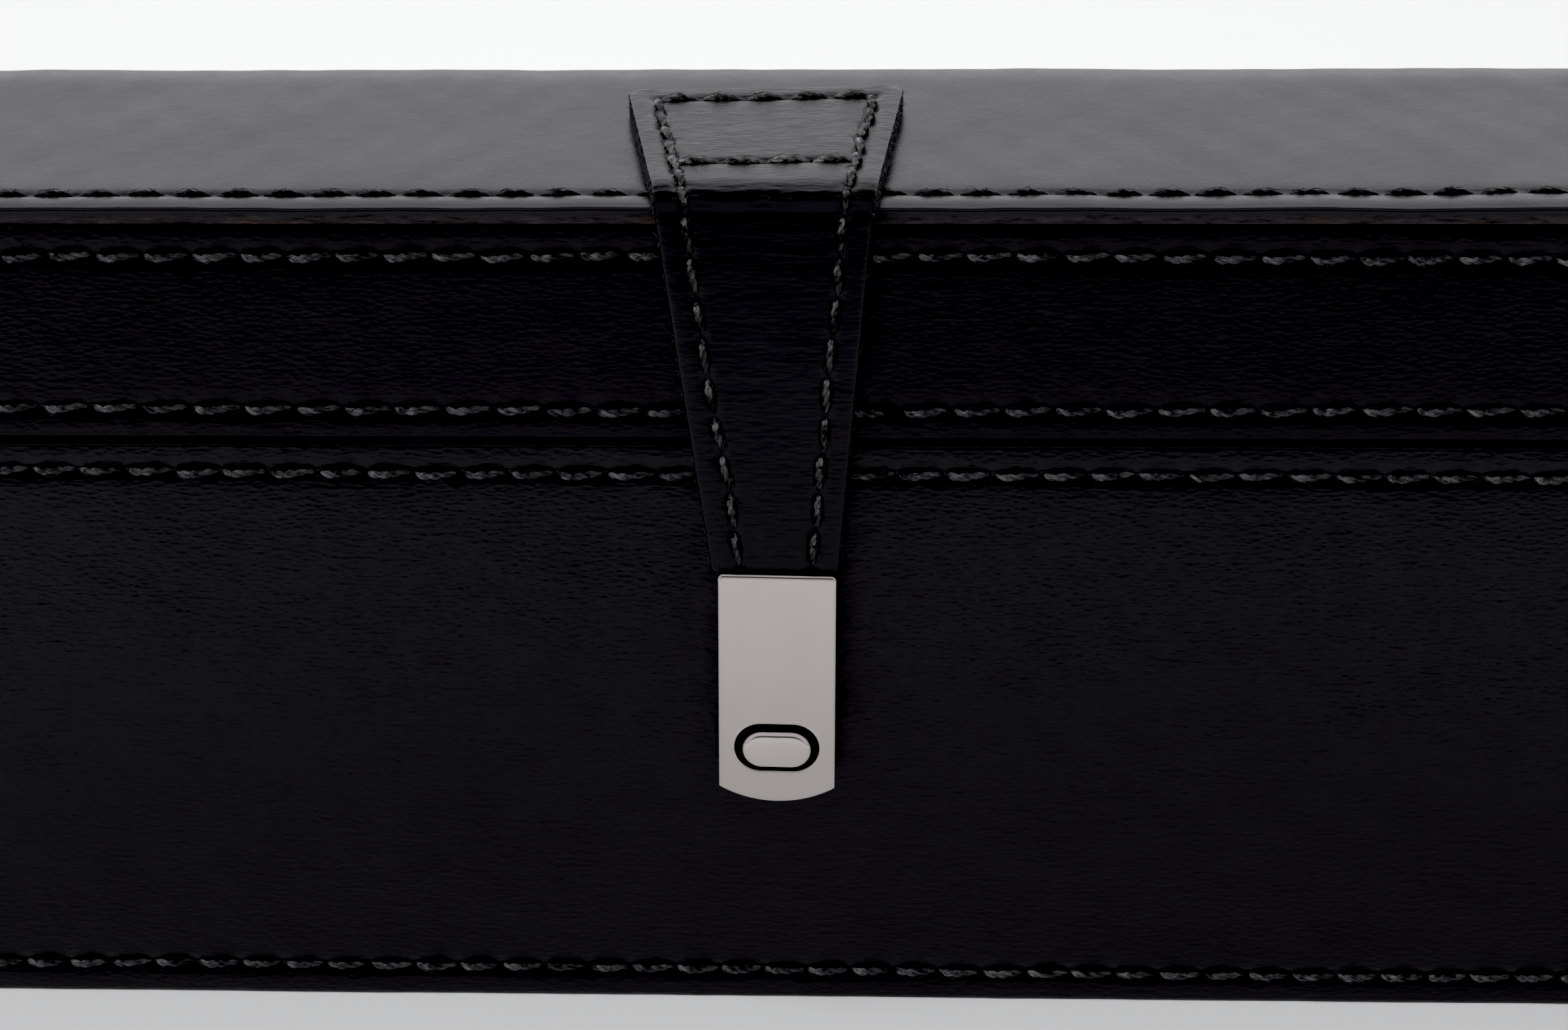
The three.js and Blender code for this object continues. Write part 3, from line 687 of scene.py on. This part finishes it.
def make_case():
    skin = [base_leather, panel_edge]
    soft = (0.8, 0.8, 0.6, 0.45)
    make_walls("base", skin, BASE_PITCHES, BASE_SLANTS, 4.8, 4.2, soft, (4.9, 4.4), (4.0, 5.0), 0.11, 3)
    panel("base", "bottom", [], skin, (0.3,) * 4, 0.0, 3.0, seed=11)
    skin = [lid_leather, panel_edge]
    soft = (0.8, 0.8, 0.4, 0.5)
    make_walls("lid", skin, LID_PITCHES, LID_SLANTS, 4.3, 4.9, soft, (4.3, 4.2), (4.8, 5.4), 0.15, 13)
    size = top_high - top_low
    ends = [(TOP_INSET, TOP_ROW_INSETS[0]), (size[0] - TOP_INSET, TOP_ROW_INSETS[1])]
    rows = [Row(*ends, TOP_PITCH, 0.12, True, 0.10, 0.5)]
    for x, y in ends:
        rows.append(Row((x, y), (x, size[1] - 1.5), TOP_PITCH, 0.12, False, 0.22))
    skin = [top_leather, top_edge]
    edges = (0.6, 0.6, 0.35, 0.5)
    panel("lid", "top", rows, skin, edges, 0.10, seed=21, thread_set="top")


make_case()

# ---------- strap ----------

fold_front = anchor_low[1]
strap_top = anchor_high[2]
strap_face = hang_low[1]
hang_start = hang_high[2]
thickness = strap_top - anchor_low[2]
outer_layer = 1.6
half_back = (anchor_high[0] - anchor_low[0]) / 2
half_fold = (hang_high[0] - hang_low[0]) / 2
half_clasp = 17.7 / 2
end_row = 0.4  # the long seams end this far above the strap's foot
fold_start = fold_front + 1.4
top_run = anchor_high[1] - fold_start
fold_across = fold_start - strap_face
fold_down = strap_top - hang_start
plate_top = plate_high[2] - 0.3  # the visible plate's top edge, and the end of the strap's lining
FOLD_STEPS = 26
FOLD_CREST = 0.1  # the leather lifts a little before it turns down
FOLD_LEAN = 0.8  # and hangs slightly forward as it comes off the edge
FOLD_CREASES = ((3.4, 0.05), (6.2, 0.08), (8.8, 0.08), (12.5, 0.07), (17.5, 0.06), (27, 0.05))
EDGE_ROWS = 4  # rows of points down a cut edge
END_ROUND = 2.6  # radius of the strap's back corners


def strap_stations(low_end):
    """y, z, normal and distance along, down the strap's outer face from its back end to low_end."""
    flat = np.concatenate([[0, 0.15, 0.4, 0.8], np.arange(1.4, top_run - 0.3, 0.75)])
    turn = np.linspace(0, math.pi / 2, FOLD_STEPS + 1)
    foot = [low_end + 0.5, low_end + 0.15, low_end]
    hang = np.concatenate([np.arange(hang_start - 0.6, low_end + 0.9, -0.8), foot])
    fold = fold_start - fold_across * np.sin(turn)
    y = np.concatenate([anchor_high[1] - flat, fold, np.full(len(hang), strap_face)])
    z = np.concatenate([np.full(len(flat), strap_top), hang_start + fold_down * np.cos(turn), hang])
    z = z + FOLD_CREST * np.exp(-(((y - fold_start) / 4.0) ** 2))
    past_edge = np.clip((fold_start - y) / fold_across, 0, 1)
    y = y + FOLD_LEAN * np.clip(1 - (hang_start - z) / 24, 0, 1) ** 2 * past_edge
    along = np.gradient(np.stack([y, z], -1), axis=0)
    along /= np.linalg.norm(along, axis=1)[:, None]
    normals = np.stack([along[:, 1], -along[:, 0]], -1)
    steps = np.hypot(np.diff(y), np.diff(z))
    return y, z, normals, np.concatenate([[0], np.cumsum(steps)])


fold_distance = anchor_high[1] - fold_front + 3.5
outer_end = plate_high[2] - 0.15
strap_length = strap_stations(outer_end)[3][-1]
front_length = strap_length - fold_distance


def half_width(distance):
    if distance < fold_distance:
        return half_back + (half_fold - half_back) * distance / fold_distance
    return half_fold + (half_clasp - half_fold) * (distance - fold_distance) / front_length


def strap_point(distance, x, sink, stations):
    """A point of the strap: distance along, x across, sink below its outer face. Also its normal."""
    ys, zs, normals, marks = stations
    y, z, ahead, up = (np.interp(distance, marks, values) for values in (ys, zs, *normals.T))
    normal = np.array([0, ahead, up]) / math.hypot(ahead, up)
    return skewed(np.array([x, y, z]) - normal * sink), normal


def skewed(point):
    """The strap's flat part lies slightly turned on the lid."""
    point = np.array(point, float)
    point[0] -= STRAP_LEAN * np.clip((point[2] - plate_high[2]) / (hang_start - plate_high[2]), 0, 1)
    behind = point[1] - fold_front
    share = np.clip((behind + 3) / 8, 0, 1)
    angle = STRAP_SKEW * share * share * (3 - 2 * share)
    x, y = point[0], behind
    point[0] = x * math.cos(angle) - y * math.sin(angle)
    point[1] = fold_front + x * math.sin(angle) + y * math.cos(angle)
    return point


STRAP_INSET = 3.9
STRAP_PITCH, CROSS_PITCH = 5.95, 5.9
BOX_BACK, BOX_FRONT = 4.4, 30.0  # how far from the strap's back end the cross rows lie


def strap_seams():
    """Hole lists in (distance along, x): two long rows and the two rows that close the box."""
    seams = []
    for side in (-1, 1):
        count = round((strap_length - BOX_BACK) / STRAP_PITCH)
        steps = np.linspace(BOX_BACK, strap_length - end_row, count + 1)
        jitter = dice.normal(0, 0.15, len(steps))
        seams.append([(s, side * (half_width(s) - STRAP_INSET) + j) for s, j in zip(steps, jitter)])
    for distance in (BOX_BACK, BOX_FRONT):
        reach = half_width(distance) - STRAP_INSET
        count = round(2 * reach / CROSS_PITCH)
        seams.append([(distance + dice.normal(0, 0.12), x) for x in np.linspace(-reach, reach, count + 1)])
    return seams


seams = strap_seams()
seam_pieces = [(np.array(a), np.array(b)) for seam in seams for a, b in zip(seam[:-1], seam[1:])]


def strap_relief(distance, x, half):
    """Relief of the outer face across one station, in millimetres."""
    relief = 0.05 * waves(x, distance, 11, 61) + 0.02 * waves(x, distance, 3.5, 62)
    below = distance - fold_distance
    at_fold = math.exp(-((below / 5.5) ** 2)) * float(np.clip(1 + (below + 2) / 3, 0, 1))
    ripple = 0.035 * np.sin(distance * 3.6 + 1.6 * waves(x, distance * 0.2, 7, 63)) * at_fold
    for centre, depth in FOLD_CREASES:
        bow = centre + 0.8 * waves(x, centre * 5, 16, int(centre * 10)) - 0.9 * (x / half_fold) ** 2
        ripple -= depth * np.exp(-(((below - bow) / 0.40) ** 2))
    gap = half - np.abs(x)
    relief = relief + ripple - rounding(gap, 0.55) + 0.12 * swelling(gap, STRAP_INSET)
    for a, b in seam_pieces:
        if min(a[0], b[0]) - 2.2 < distance < max(a[0], b[0]) + 2.2:
            step = b - a
            length2 = step @ step
            share = np.clip(((distance - a[0]) * step[0] + (x - a[1]) * step[1]) / length2, 0, 1)
            gap2 = (distance - a[0] - share * step[0]) ** 2 + (x - a[1] - share * step[1]) ** 2
            relief -= 0.24 * np.exp(-gap2 / 0.7)
            for hole in (a, b):
                gap2 = (distance - hole[0]) ** 2 + (x - hole[1]) ** 2
                relief -= 0.12 * np.exp(-gap2 / 0.25)
    return relief


def strap_layer(name, low_end, top_sink, low_sink, relief_on, materials):
    """One layer of the strap, between two depths below the strap's outer face."""
    stations = strap_stations(low_end)
    shares = np.sort(np.concatenate([np.linspace(-0.985, 0.985, 53), [-1, -0.994, 0.994, 1]]))
    wide = len(shares)
    depths = (np.arange(EDGE_ROWS) + 0.8) / (EDGE_ROWS + 0.6)
    edge_sinks = top_sink + (low_sink - top_sink) * depths
    points = []
    for y, z, normal, distance in zip(*stations):
        half = half_width(distance)
        if distance < END_ROUND:
            half -= END_ROUND * (1 - math.sqrt(1 - (1 - distance / END_ROUND) ** 2)) * 0.8
        x = shares * half
        lift = strap_relief(distance, x, half) if relief_on else 0 * x
        end_gap = min(distance, stations[3][-1] - distance)
        lift = lift - 0.25 * max(0, 1 - end_gap / 0.4) ** 2
        right = half - 0.03 + dice.normal(0, 0.035, EDGE_ROWS)
        left = 0.03 - half + dice.normal(0, 0.035, EDGE_ROWS)
        across = np.concatenate([x, right, x[::-1], left[::-1]])
        below = np.full(wide, low_sink)
        sinks = np.concatenate([top_sink - lift, edge_sinks, below, edge_sinks[::-1]])
        outline = np.column_stack([across, y - normal[0] * sinks, z - normal[1] * sinks])
        points.extend(skewed(point) for point in outline)
    loops = np.arange(len(points)).reshape(len(stations[3]), -1).tolist()
    faces = bands(loops) + [tuple(loops[0]), tuple(reversed(loops[-1]))]
    kinds = [0] * (wide - 1) + [1] * (EDGE_ROWS + 1)
    kinds = 2 * kinds * (len(loops) - 1) + [1, 1]
    return make_object(name, points, faces, materials, kinds=kinds, sharp=50)


def bend_over_edge(piece):
    """Bakes a strap piece's placement into its mesh; the piece already follows the lid down to its edge and
    the hanging part below it.
    """
    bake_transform(piece)


def strap_fuzz(stations):
    """Short fibres that stand off the strap's cut edges, in the paler thread colour: a painted highlight
    along the edges.
    """
    fuzz = Stitches()
    for side in (-1, 1):
        for distance in np.arange(1.5, strap_length - 0.5, 0.32):
            distance = distance + dice.uniform(-0.2, 0.2)
            x = side * (half_width(distance) - 0.05)
            root, normal = strap_point(distance, x, dice.uniform(0.15, 2.6), stations)
            heading = np.array([side * dice.uniform(0.1, 0.5), 0, 0])
            heading = heading + np.cross(normal, (1, 0, 0)) * dice.uniform(-1, 1)
            t = np.linspace(0, 1, 4)[:, None]
            path = root + heading * t * dice.uniform(0.5, 1.3) + normal * 0.15 * np.sin(math.pi * t)
            fuzz.tube(path, np.full(4, HAIR * 0.8), 3)
    # the paler thread colour paints the highlight along the cut edges' rims
    return fuzz.finish("strap_fuzz", painted_highlight_thread, None)


def make_strap():
    skin = [strap_leather, strap_edge]
    outer = strap_layer("strap_outer", outer_end, 0.0, outer_layer - 0.04, True, skin)
    inner = strap_layer("strap_lining", plate_top, outer_layer + 0.04, thickness - 0.02, False, skin)
    stations = strap_stations(outer_end)
    shares = np.linspace(0.05, 0.95, 15)
    for number, seam in enumerate(seams):
        slant = 0.22 if number < 2 else 0.08
        for a, b in zip(seam[:-1], seam[1:]):
            kind, size = "strap", 1.15
            # the stitches on the flat part and the front cross row take the paler thread: painted highlight
            if number < 2 and b[0] < fold_distance - 1:
                kind, size = "strap_top", 1.35
            if number == 3:
                kind, size = "strap_top", 1.2
            a, b = np.array(a), np.array(b)
            path = [strap_point(*(a + (b - a) * s), 0.14, stations) for s in shares]
            points, normals = (np.array(part) for part in zip(*path))
            threads[kind].stitch(points, normals, slant, size)
    seam_thread = threads["strap"].finish("strap_thread", strap_thread, None)
    for piece in (outer, inner, seam_thread, strap_fuzz(stations)):
        bend_over_edge(piece)
    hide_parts("strap_outer_leather", "strap_anchor", "strap_fold")


make_strap()
# these stitches use the paler thread: painted highlight
threads["strap_top"].finish("strap_top_thread", painted_highlight_thread, "lid")
threads["base"].finish("base_thread", black_thread, "base")
threads["lid"].finish("lid_thread", black_thread, "lid")
# the lid's top rows take the darker thread: painted shade
threads["top"].finish("lid_top_thread", shaded_top_thread, "lid")

# ---------- clasp ----------

button_z = (button_low[2] + button_high[2]) / 2
HOLE = (11.9, 7.4)  # widths and heights
BUTTON = (9.9, 5.7)
FLANGE = (12.8, 8.0)
BUTTON_DROP = 0.12  # the button sits a little low in its hole
FLANGE_DEPTH = 0.9  # behind the plate's face
INSIDE_DEPTH = 0.85  # how deep the plate's hollow back lies behind its face

# (growth of the hole, depth behind the plate's face): the wall of the hole and its fine raised rim
HOLE_RINGS = ((0.5, INSIDE_DEPTH), (0.0, 0.80), (0.0, 0.30), (0.06, 0.12), (0.20, 0.01), (0.40, -0.035),
              (0.64, -0.03), (0.84, -0.006), (1.0, 0.0), (1.06, 0.0))
# (inset of the outline, depth behind the plate's face): the rounded edge
EDGE_RINGS = ((0.75, 0.0), (0.46, 0.0), (0.26, 0.04), (0.11, 0.13), (0.02, 0.28), (0.0, 0.45))
# (inset of the outline, depth behind the button's face)
BUTTON_RINGS = ((2.2, 0.0), (0.78, 0.01), (0.50, 0.05), (0.30, 0.17), (0.12, 0.38), (0.02, 0.60),
                (0.0, 0.95), (0.0, 1.25))

clasp_middle = Vector((0, 0, (plate_low[2] + plate_high[2]) / 2 * MM))
clasp_turn = Matrix.Rotation(CLASP_TILT, 4, "Y")
clasp_turn = Matrix.Translation(clasp_middle) @ clasp_turn @ Matrix.Translation(-clasp_middle)


def clasp_outline(inset):
    """Points of the plate's outline: straight sides, small top corners and a bowed foot."""
    half = (plate_high[0] - plate_low[0]) / 2 - inset
    top = plate_top - inset
    shoulder = plate_low[2] + 2.4
    low = plate_low[2] + inset
    corner = max(0.12, 0.8 - inset)
    turn = np.linspace(0, math.pi / 2, 9)
    path = [(half - corner + corner * math.sin(a), top - corner + corner * math.cos(a)) for a in turn]
    sag = shoulder - low
    radius = (half**2 + sag**2) / (2 * sag)
    sweep = np.linspace(math.asin(min(1, half / radius)), 0, 15)
    path += [(radius * math.sin(a), low + radius - radius * math.cos(a)) for a in sweep]
    return np.array(path + [(-x, z) for x, z in reversed(path[:-1])])


def stadium_outline(width, height):
    radius = height / 2
    straight = width / 2 - radius
    turn = np.linspace(0, math.pi, 25)
    right = [(straight + radius * math.sin(a), button_z + radius * math.cos(a)) for a in turn]
    return np.array(right + [(-x, z) for x, z in reversed(right)])


def bearings(path):
    """Each point's angle about the middle of the button, clockwise from straight up."""
    return np.arctan2(path[:, 0], path[:, 1] - button_z) % (2 * math.pi)


def cast(path, angles):
    """Where rays from the middle of the button at the given angles meet a closed outline."""
    x, z = (path - (0, button_z)).T
    across, upward = np.roll(x, -1) - x, np.roll(z, -1) - z
    hits = []
    for ray in np.column_stack([np.sin(angles), np.cos(angles)]):
        cross = ray[0] * upward - ray[1] * across
        cross[np.abs(cross) < 1e-9] = np.nan
        reach = (x * upward - z * across) / cross
        share = (x * ray[1] - z * ray[0]) / cross
        met = (reach > 0) & (share >= -1e-6) & (share <= 1 + 1e-6)
        hits.append(ray * reach[met].max() + (0, button_z))
    return np.array(hits)


outlines = [bearings(clasp_outline(0)), bearings(stadium_outline(*HOLE))]
ray_angles = np.unique(np.round(np.concatenate(outlines), 4))


def ring(outline, y):
    path = cast(outline, ray_angles)
    return np.column_stack([path[:, 0], np.full(len(path), y), path[:, 1]])


def loft(rings, closed=False):
    """Joins rings of points into faces; returns points, faces and the point numbers of each ring."""
    loops = np.arange(len(rings) * len(rings[0])).reshape(len(rings), -1).tolist()
    faces = bands(loops + loops[:1] if closed else loops)
    return np.concatenate(rings), [tuple(reversed(f)) for f in faces], loops


def clasp_piece(name, source, body, points, faces, materials, kinds):
    piece = make_object(name, points, faces, materials, kinds=kinds, sharp=40)
    piece.matrix_world = clasp_turn
    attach(piece, body)
    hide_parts(source)


def make_plate():
    face, back = plate_low[1], plate_high[1]
    holes = [(stadium_outline(HOLE[0] + grow, HOLE[1] + grow), depth) for grow, depth in HOLE_RINGS]
    rings = [ring(outline, face + depth) for outline, depth in holes]
    rings += [ring(clasp_outline(inset), face + depth) for inset, depth in EDGE_RINGS]
    behind = ((0.0, back - 0.15), (0.12, back), (0.9, back), (1.0, face + INSIDE_DEPTH))
    rings += [ring(clasp_outline(inset), y) for inset, y in behind]
    points, faces, loops = loft(rings, closed=True)
    # the deeper part of the hole's wall and the plate's hollow back take the near-black nickel: painted
    # shade
    painted_shade_rings = (0, 1, len(rings) - 2, len(rings) - 1)
    kinds = [int(i // len(loops[0]) in painted_shade_rings) for i in range(len(faces))]
    clasp_piece("clasp_front", "clasp_plate", "strap", points, faces, [nickel, shaded_nickel], kinds)


def make_button():
    rings = []
    for inset, depth in (*BUTTON_RINGS, (0.0, plate_low[1] + FLANGE_DEPTH - button_low[1])):
        outline = stadium_outline(BUTTON[0] - 2 * inset, BUTTON[1] - 2 * inset)
        rings.append(ring(outline, button_low[1] + depth) - (0, 0, BUTTON_DROP))
    for y in (plate_low[1] + FLANGE_DEPTH, button_high[1]):
        rings.append(ring(stadium_outline(*FLANGE), y))
    points, faces, loops = loft(rings)
    # the button's flange and its back take the near-black nickel: painted shade in the gap
    kinds = [int(i // len(loops[0]) >= len(BUTTON_RINGS)) for i in range(len(faces))]
    faces += [tuple(reversed(loops[0])), tuple(loops[-1])]
    materials = [button_nickel, shaded_nickel]
    clasp_piece("clasp_button", "push_button", "push_button", points, faces, materials, kinds + [0, 1])


make_plate()
make_button()

# ---------- pieces that keep their CAD shape, cleaned and bevelled ----------

CAD_SHARP = 25  # degrees
BEVEL_OVER = math.radians(35)


def carried(name, source, material, body, width, cut_above=None):
    """A CAD piece with its flat faces merged and its edges bevelled, if wanted cut off at a height."""
    made = bmesh.new()
    made.from_mesh(frame["nodes"][source].data)
    bmesh.ops.remove_doubles(made, verts=made.verts, dist=2e-6)
    if cut_above:
        cut = slice_mesh(made, 2, cut_above, clear=True)
        rim = [e for e in cut["geom_cut"] if isinstance(e, bmesh.types.BMEdge)]
        bmesh.ops.contextual_create(made, geom=rim)
    bmesh.ops.dissolve_limit(made, angle_limit=math.radians(1.0), verts=made.verts, edges=made.edges)
    edges = [e for e in made.edges if len(e.link_faces) == 2 and e.calc_face_angle(0) > BEVEL_OVER]
    bevel = {"offset": width * MM, "segments": 2, "affect": "EDGES", "profile": 0.6, "clamp_overlap": True}
    bmesh.ops.bevel(made, geom=edges, **bevel)
    split_large(made)
    mesh = bpy.data.meshes.new(name)
    made.to_mesh(mesh)
    made.free()
    mesh.materials.clear()
    mesh.materials.append(material)
    smooth(mesh, CAD_SHARP)
    piece = add_object(name, mesh)
    if body:
        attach(piece, body)
    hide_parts(source)
    return piece


def split_large(made):
    bmesh.ops.triangulate(made, faces=[f for f in made.faces if len(f.verts) > 4])


def slice_mesh(made, axis, place, clear=False):
    """Cuts every face of a mesh at a place along an axis. clear: takes away what lies past the cut."""
    normal = [0, 0, 0]
    normal[axis] = 1
    point = [n * place * MM for n in normal]
    everything = made.verts[:] + made.edges[:] + made.faces[:]
    return bmesh.ops.bisect_plane(made, geom=everything, plane_co=point, plane_no=normal, clear_outer=clear)


def make_catch():
    """The catch spring, cut across every 1.5 mm between 45.5 and 65 mm; nothing here bends it. In the case
    it bends between its fixed upper end and the button that presses its foot.
    """
    spring = carried("catch_spring_made", "catch_spring", dull_steel, None, 0.06)

    def cut_up(made):
        for z in np.arange(45.5, 65, 1.5):
            slice_mesh(made, 2, z)

    reshape(spring, cut_up)
    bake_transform(spring)


PARED = (4.0, 42.8, 60.2)  # half the width of the pared patch, its foot and its top
PARED_DEPTH = 0.70


def make_tongue():
    """The inner leather behind the clasp, pared away in the middle so that the catch has room to bend."""
    source = "strap_inner_leather"
    tongue = carried("strap_tongue", source, strap_leather, "strap", 0.25, cut_above=plate_top)
    half, low, high = PARED

    def pare(made):
        for x in (-half - 0.2, -half + 0.2, half - 0.2, half + 0.2):
            slice_mesh(made, 0, x)
        for z in (low - 0.2, low + 0.2, high - 0.2, high + 0.2):
            slice_mesh(made, 2, z)
        for vertex in made.verts:
            x, y, z = (c / MM for c in vertex.co)
            depth = y - inner_face
            if abs(x) < half - 0.15 and low + 0.15 < z < high - 0.15 and depth < 0.4:
                vertex.co.y += PARED_DEPTH * (1 - depth / 0.4) * MM
        bmesh.ops.triangulate(made, faces=made.faces[:])

    reshape(tongue, pare)


SCREW_SLOT = 0.27  # half the width of a screw's slot
SCREW_SLOT_DEPTH = 0.2


def add_slot(piece, source):
    """A driver slot across a screw's head, turned at random about the screw."""
    low, high = box_mm(source)
    x, y, z = (low + high) / 2
    outward = 1 if y > 0 else -1
    face = high[1] if outward > 0 else low[1]

    def cut(made):
        for side in (-SCREW_SLOT, SCREW_SLOT):
            for step in (-0.03, 0.03):
                slice_mesh(made, 0, x + side + step)
        for vertex in made.verts:
            depth = (face - vertex.co.y / MM) * outward
            if abs(vertex.co.x / MM - x) < SCREW_SLOT and depth < SCREW_SLOT_DEPTH:
                vertex.co.y = (face - SCREW_SLOT_DEPTH * outward) * MM
        turn = Matrix.Rotation(dice.uniform(0, math.pi), 3, "Y")
        bmesh.ops.rotate(made, verts=made.verts, cent=(x * MM, y * MM, z * MM), matrix=turn)
        split_large(made)

    reshape(piece, cut)
    smooth(piece.data, CAD_SHARP)


BEVELS = {"suede": 0.5, "board": 0.3}
slots = {part["node"]: part["material_slot"] for part in frame["record"]["subparts"]}


def carry_the_rest():
    finishes = {"nickel": nickel, "steel": dull_steel, "suede": insert_suede, "board": board_cover}
    finishes["strap_leather"] = strap_leather
    for body, members in frame["record"]["behaviour"]["bodies"].items():
        for source in members:
            if frame["nodes"][source].hide_render or source in ("floor_pad", "lid_pad"):
                continue
            slot = slots[source]
            material, width = finishes[slot], BEVELS.get(slot, 0.12)
            if source.endswith("_lining"):
                material, width = lining_suede, 0.25
            piece = carried(f"{source}_made", source, material, body, width)
            if "screw" in source:
                add_slot(piece, source)


PAD_COLUMNS, PAD_ROWS = 121, 25


def pad(name, source, body, up):
    """A thin padded panel: crowned, with its edges pulled down."""
    low, high = box_mm(source)
    size = high - low
    middle = (low + high) / 2
    u, v = np.meshgrid(np.linspace(-1, 1, PAD_COLUMNS), np.linspace(-1, 1, PAD_ROWS))
    edge = np.minimum((1 - np.abs(u)) * size[0] / 2, (1 - np.abs(v)) * size[1] / 2)
    round_side = np.clip(edge / (size[2] * 1.6), 0, 1)
    crown = np.sqrt(1 - (1 - round_side) ** 2)
    plump = crown * (0.86 + 0.10 * (1 - v**2) * (1 - u**4)) + 0.012 * waves(u * 90, v * 22, 15, 71)
    foot, tall = (low[2], size[2]) if up else (high[2], -size[2])
    layers = []
    for z in (foot + tall * np.clip(plump, 0.05, 1.0), np.full_like(u, foot)):
        layer = np.stack([middle[0] + u * size[0] / 2, middle[1] + v * size[1] / 2, z], -1)
        layers.append(layer.reshape(-1, 3))
    upper = grid_faces(PAD_ROWS, PAD_COLUMNS)
    lower = [tuple(i + u.size for i in reversed(f)) for f in upper]
    rim = border(PAD_ROWS, PAD_COLUMNS)
    faces = upper + lower + bands([rim, [i + u.size for i in rim]])
    if not up:
        faces = [tuple(reversed(f)) for f in faces]
    made = make_object(name, np.concatenate(layers), faces, [lining_suede], body)
    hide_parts(source)


make_tongue()
make_catch()
pad("floor_cushion", "floor_pad", "base", True)
pad("lid_cushion", "lid_pad", "lid", False)
carry_the_rest()

# ---------- floor and light ----------

SIGHT = 0.93  # brightness of the backdrop to the camera
BLACK_POINT = 0.018  # light below this prints as black
FLOOR_REACH = 6.0  # metres


def make_floor():
    """A pale floor whose colour is painted darker near the camera and brighter behind the case: painted
    shade in front and painted light behind, standing in for how the lamps fall on it. Its steps are in
    metres.
    """
    material, shader = new_material("floor")
    back = one_axis(node(shader, "ShaderNodeTexCoord", {}, "Object"), "Y")
    near = remap(back, -0.27, -0.19)
    closer = remap(back, -0.16, -0.08)
    far = remap(back, 0.0, 0.10)
    # painted shade in front of the case and painted light behind it, in the floor's colour
    grey = colours(near, (0.425, 0.425, 0.43), (0.62, 0.62, 0.622))
    pale = blend_colours(closer, grey, (0.555, 0.555, 0.557, 1))
    bright = blend_colours(far, pale, (0.765, 0.765, 0.757, 1))
    feed(shader, {"Base Color": bright, "Roughness": 0.9, "Specular IOR Level": 0.1})
    mesh = bpy.data.meshes.new("floor")
    corners = [(x * FLOOR_REACH, y * FLOOR_REACH, 0) for x, y in ((-1, -1), (1, -1), (1, 1), (-1, 1))]
    mesh.from_pydata(corners, [], [(0, 1, 2, 3)])
    mesh.materials.append(material)
    add_object("floor", mesh)


def make_surroundings():
    """A bright backdrop behind the case, a softer light overhead and a dim room in front.
    The camera itself sees plain white."""
    world = bpy.data.worlds.new("studio")
    world.use_nodes = True
    background = world.node_tree.nodes["Background"]
    back = one_axis(node(background, "ShaderNodeTexCoord", {}, "Generated"), "Y")
    behind = remap(back, 0.35, 0.75)
    behind.node.interpolation_type = "SMOOTHSTEP"
    overhead = arithmetic("MULTIPLY", remap(back, -0.95, -0.80), remap(back, 0.0, 0.15, 1.0, 0.0))
    soft = colours(overhead, (0.05, 0.05, 0.052), (0.62, 0.62, 0.64))
    light = blend_colours(behind, soft, (1.10, 1.10, 1.15, 1))
    seen = node(background, "ShaderNodeLightPath", {}, "Is Camera Ray")
    feed(background, {"Color": blend_colours(seen, light, (SIGHT, SIGHT, SIGHT, 1))})
    bpy.context.scene.world = world


def area_light(name, place, aim, width, height, power):
    data = bpy.data.lights.new(name, "AREA")
    data.shape = "RECTANGLE"
    data.size, data.size_y, data.energy = width, height, power
    lamp = add_object(name, data)
    lamp.location = place
    lamp.rotation_euler = (Vector(aim) - Vector(place)).to_track_quat("-Z", "Y").to_euler()
    lamp.visible_camera = False
    lamp.visible_glossy = False


make_floor()
make_surroundings()
area_light("overhead", (-0.18, -0.55, 1.2), (0, 0, 0), 0.9, 0.9, 14.5)
area_light("behind", (0, 0.8, 0.9), (0, 0.45, 0), 1.4, 0.5, 4.0)

view = bpy.context.scene.view_settings
view.view_transform = "Standard"
view.use_curve_mapping = True
view.curve_mapping.black_level = (BLACK_POINT, BLACK_POINT, BLACK_POINT)
view.curve_mapping.update()
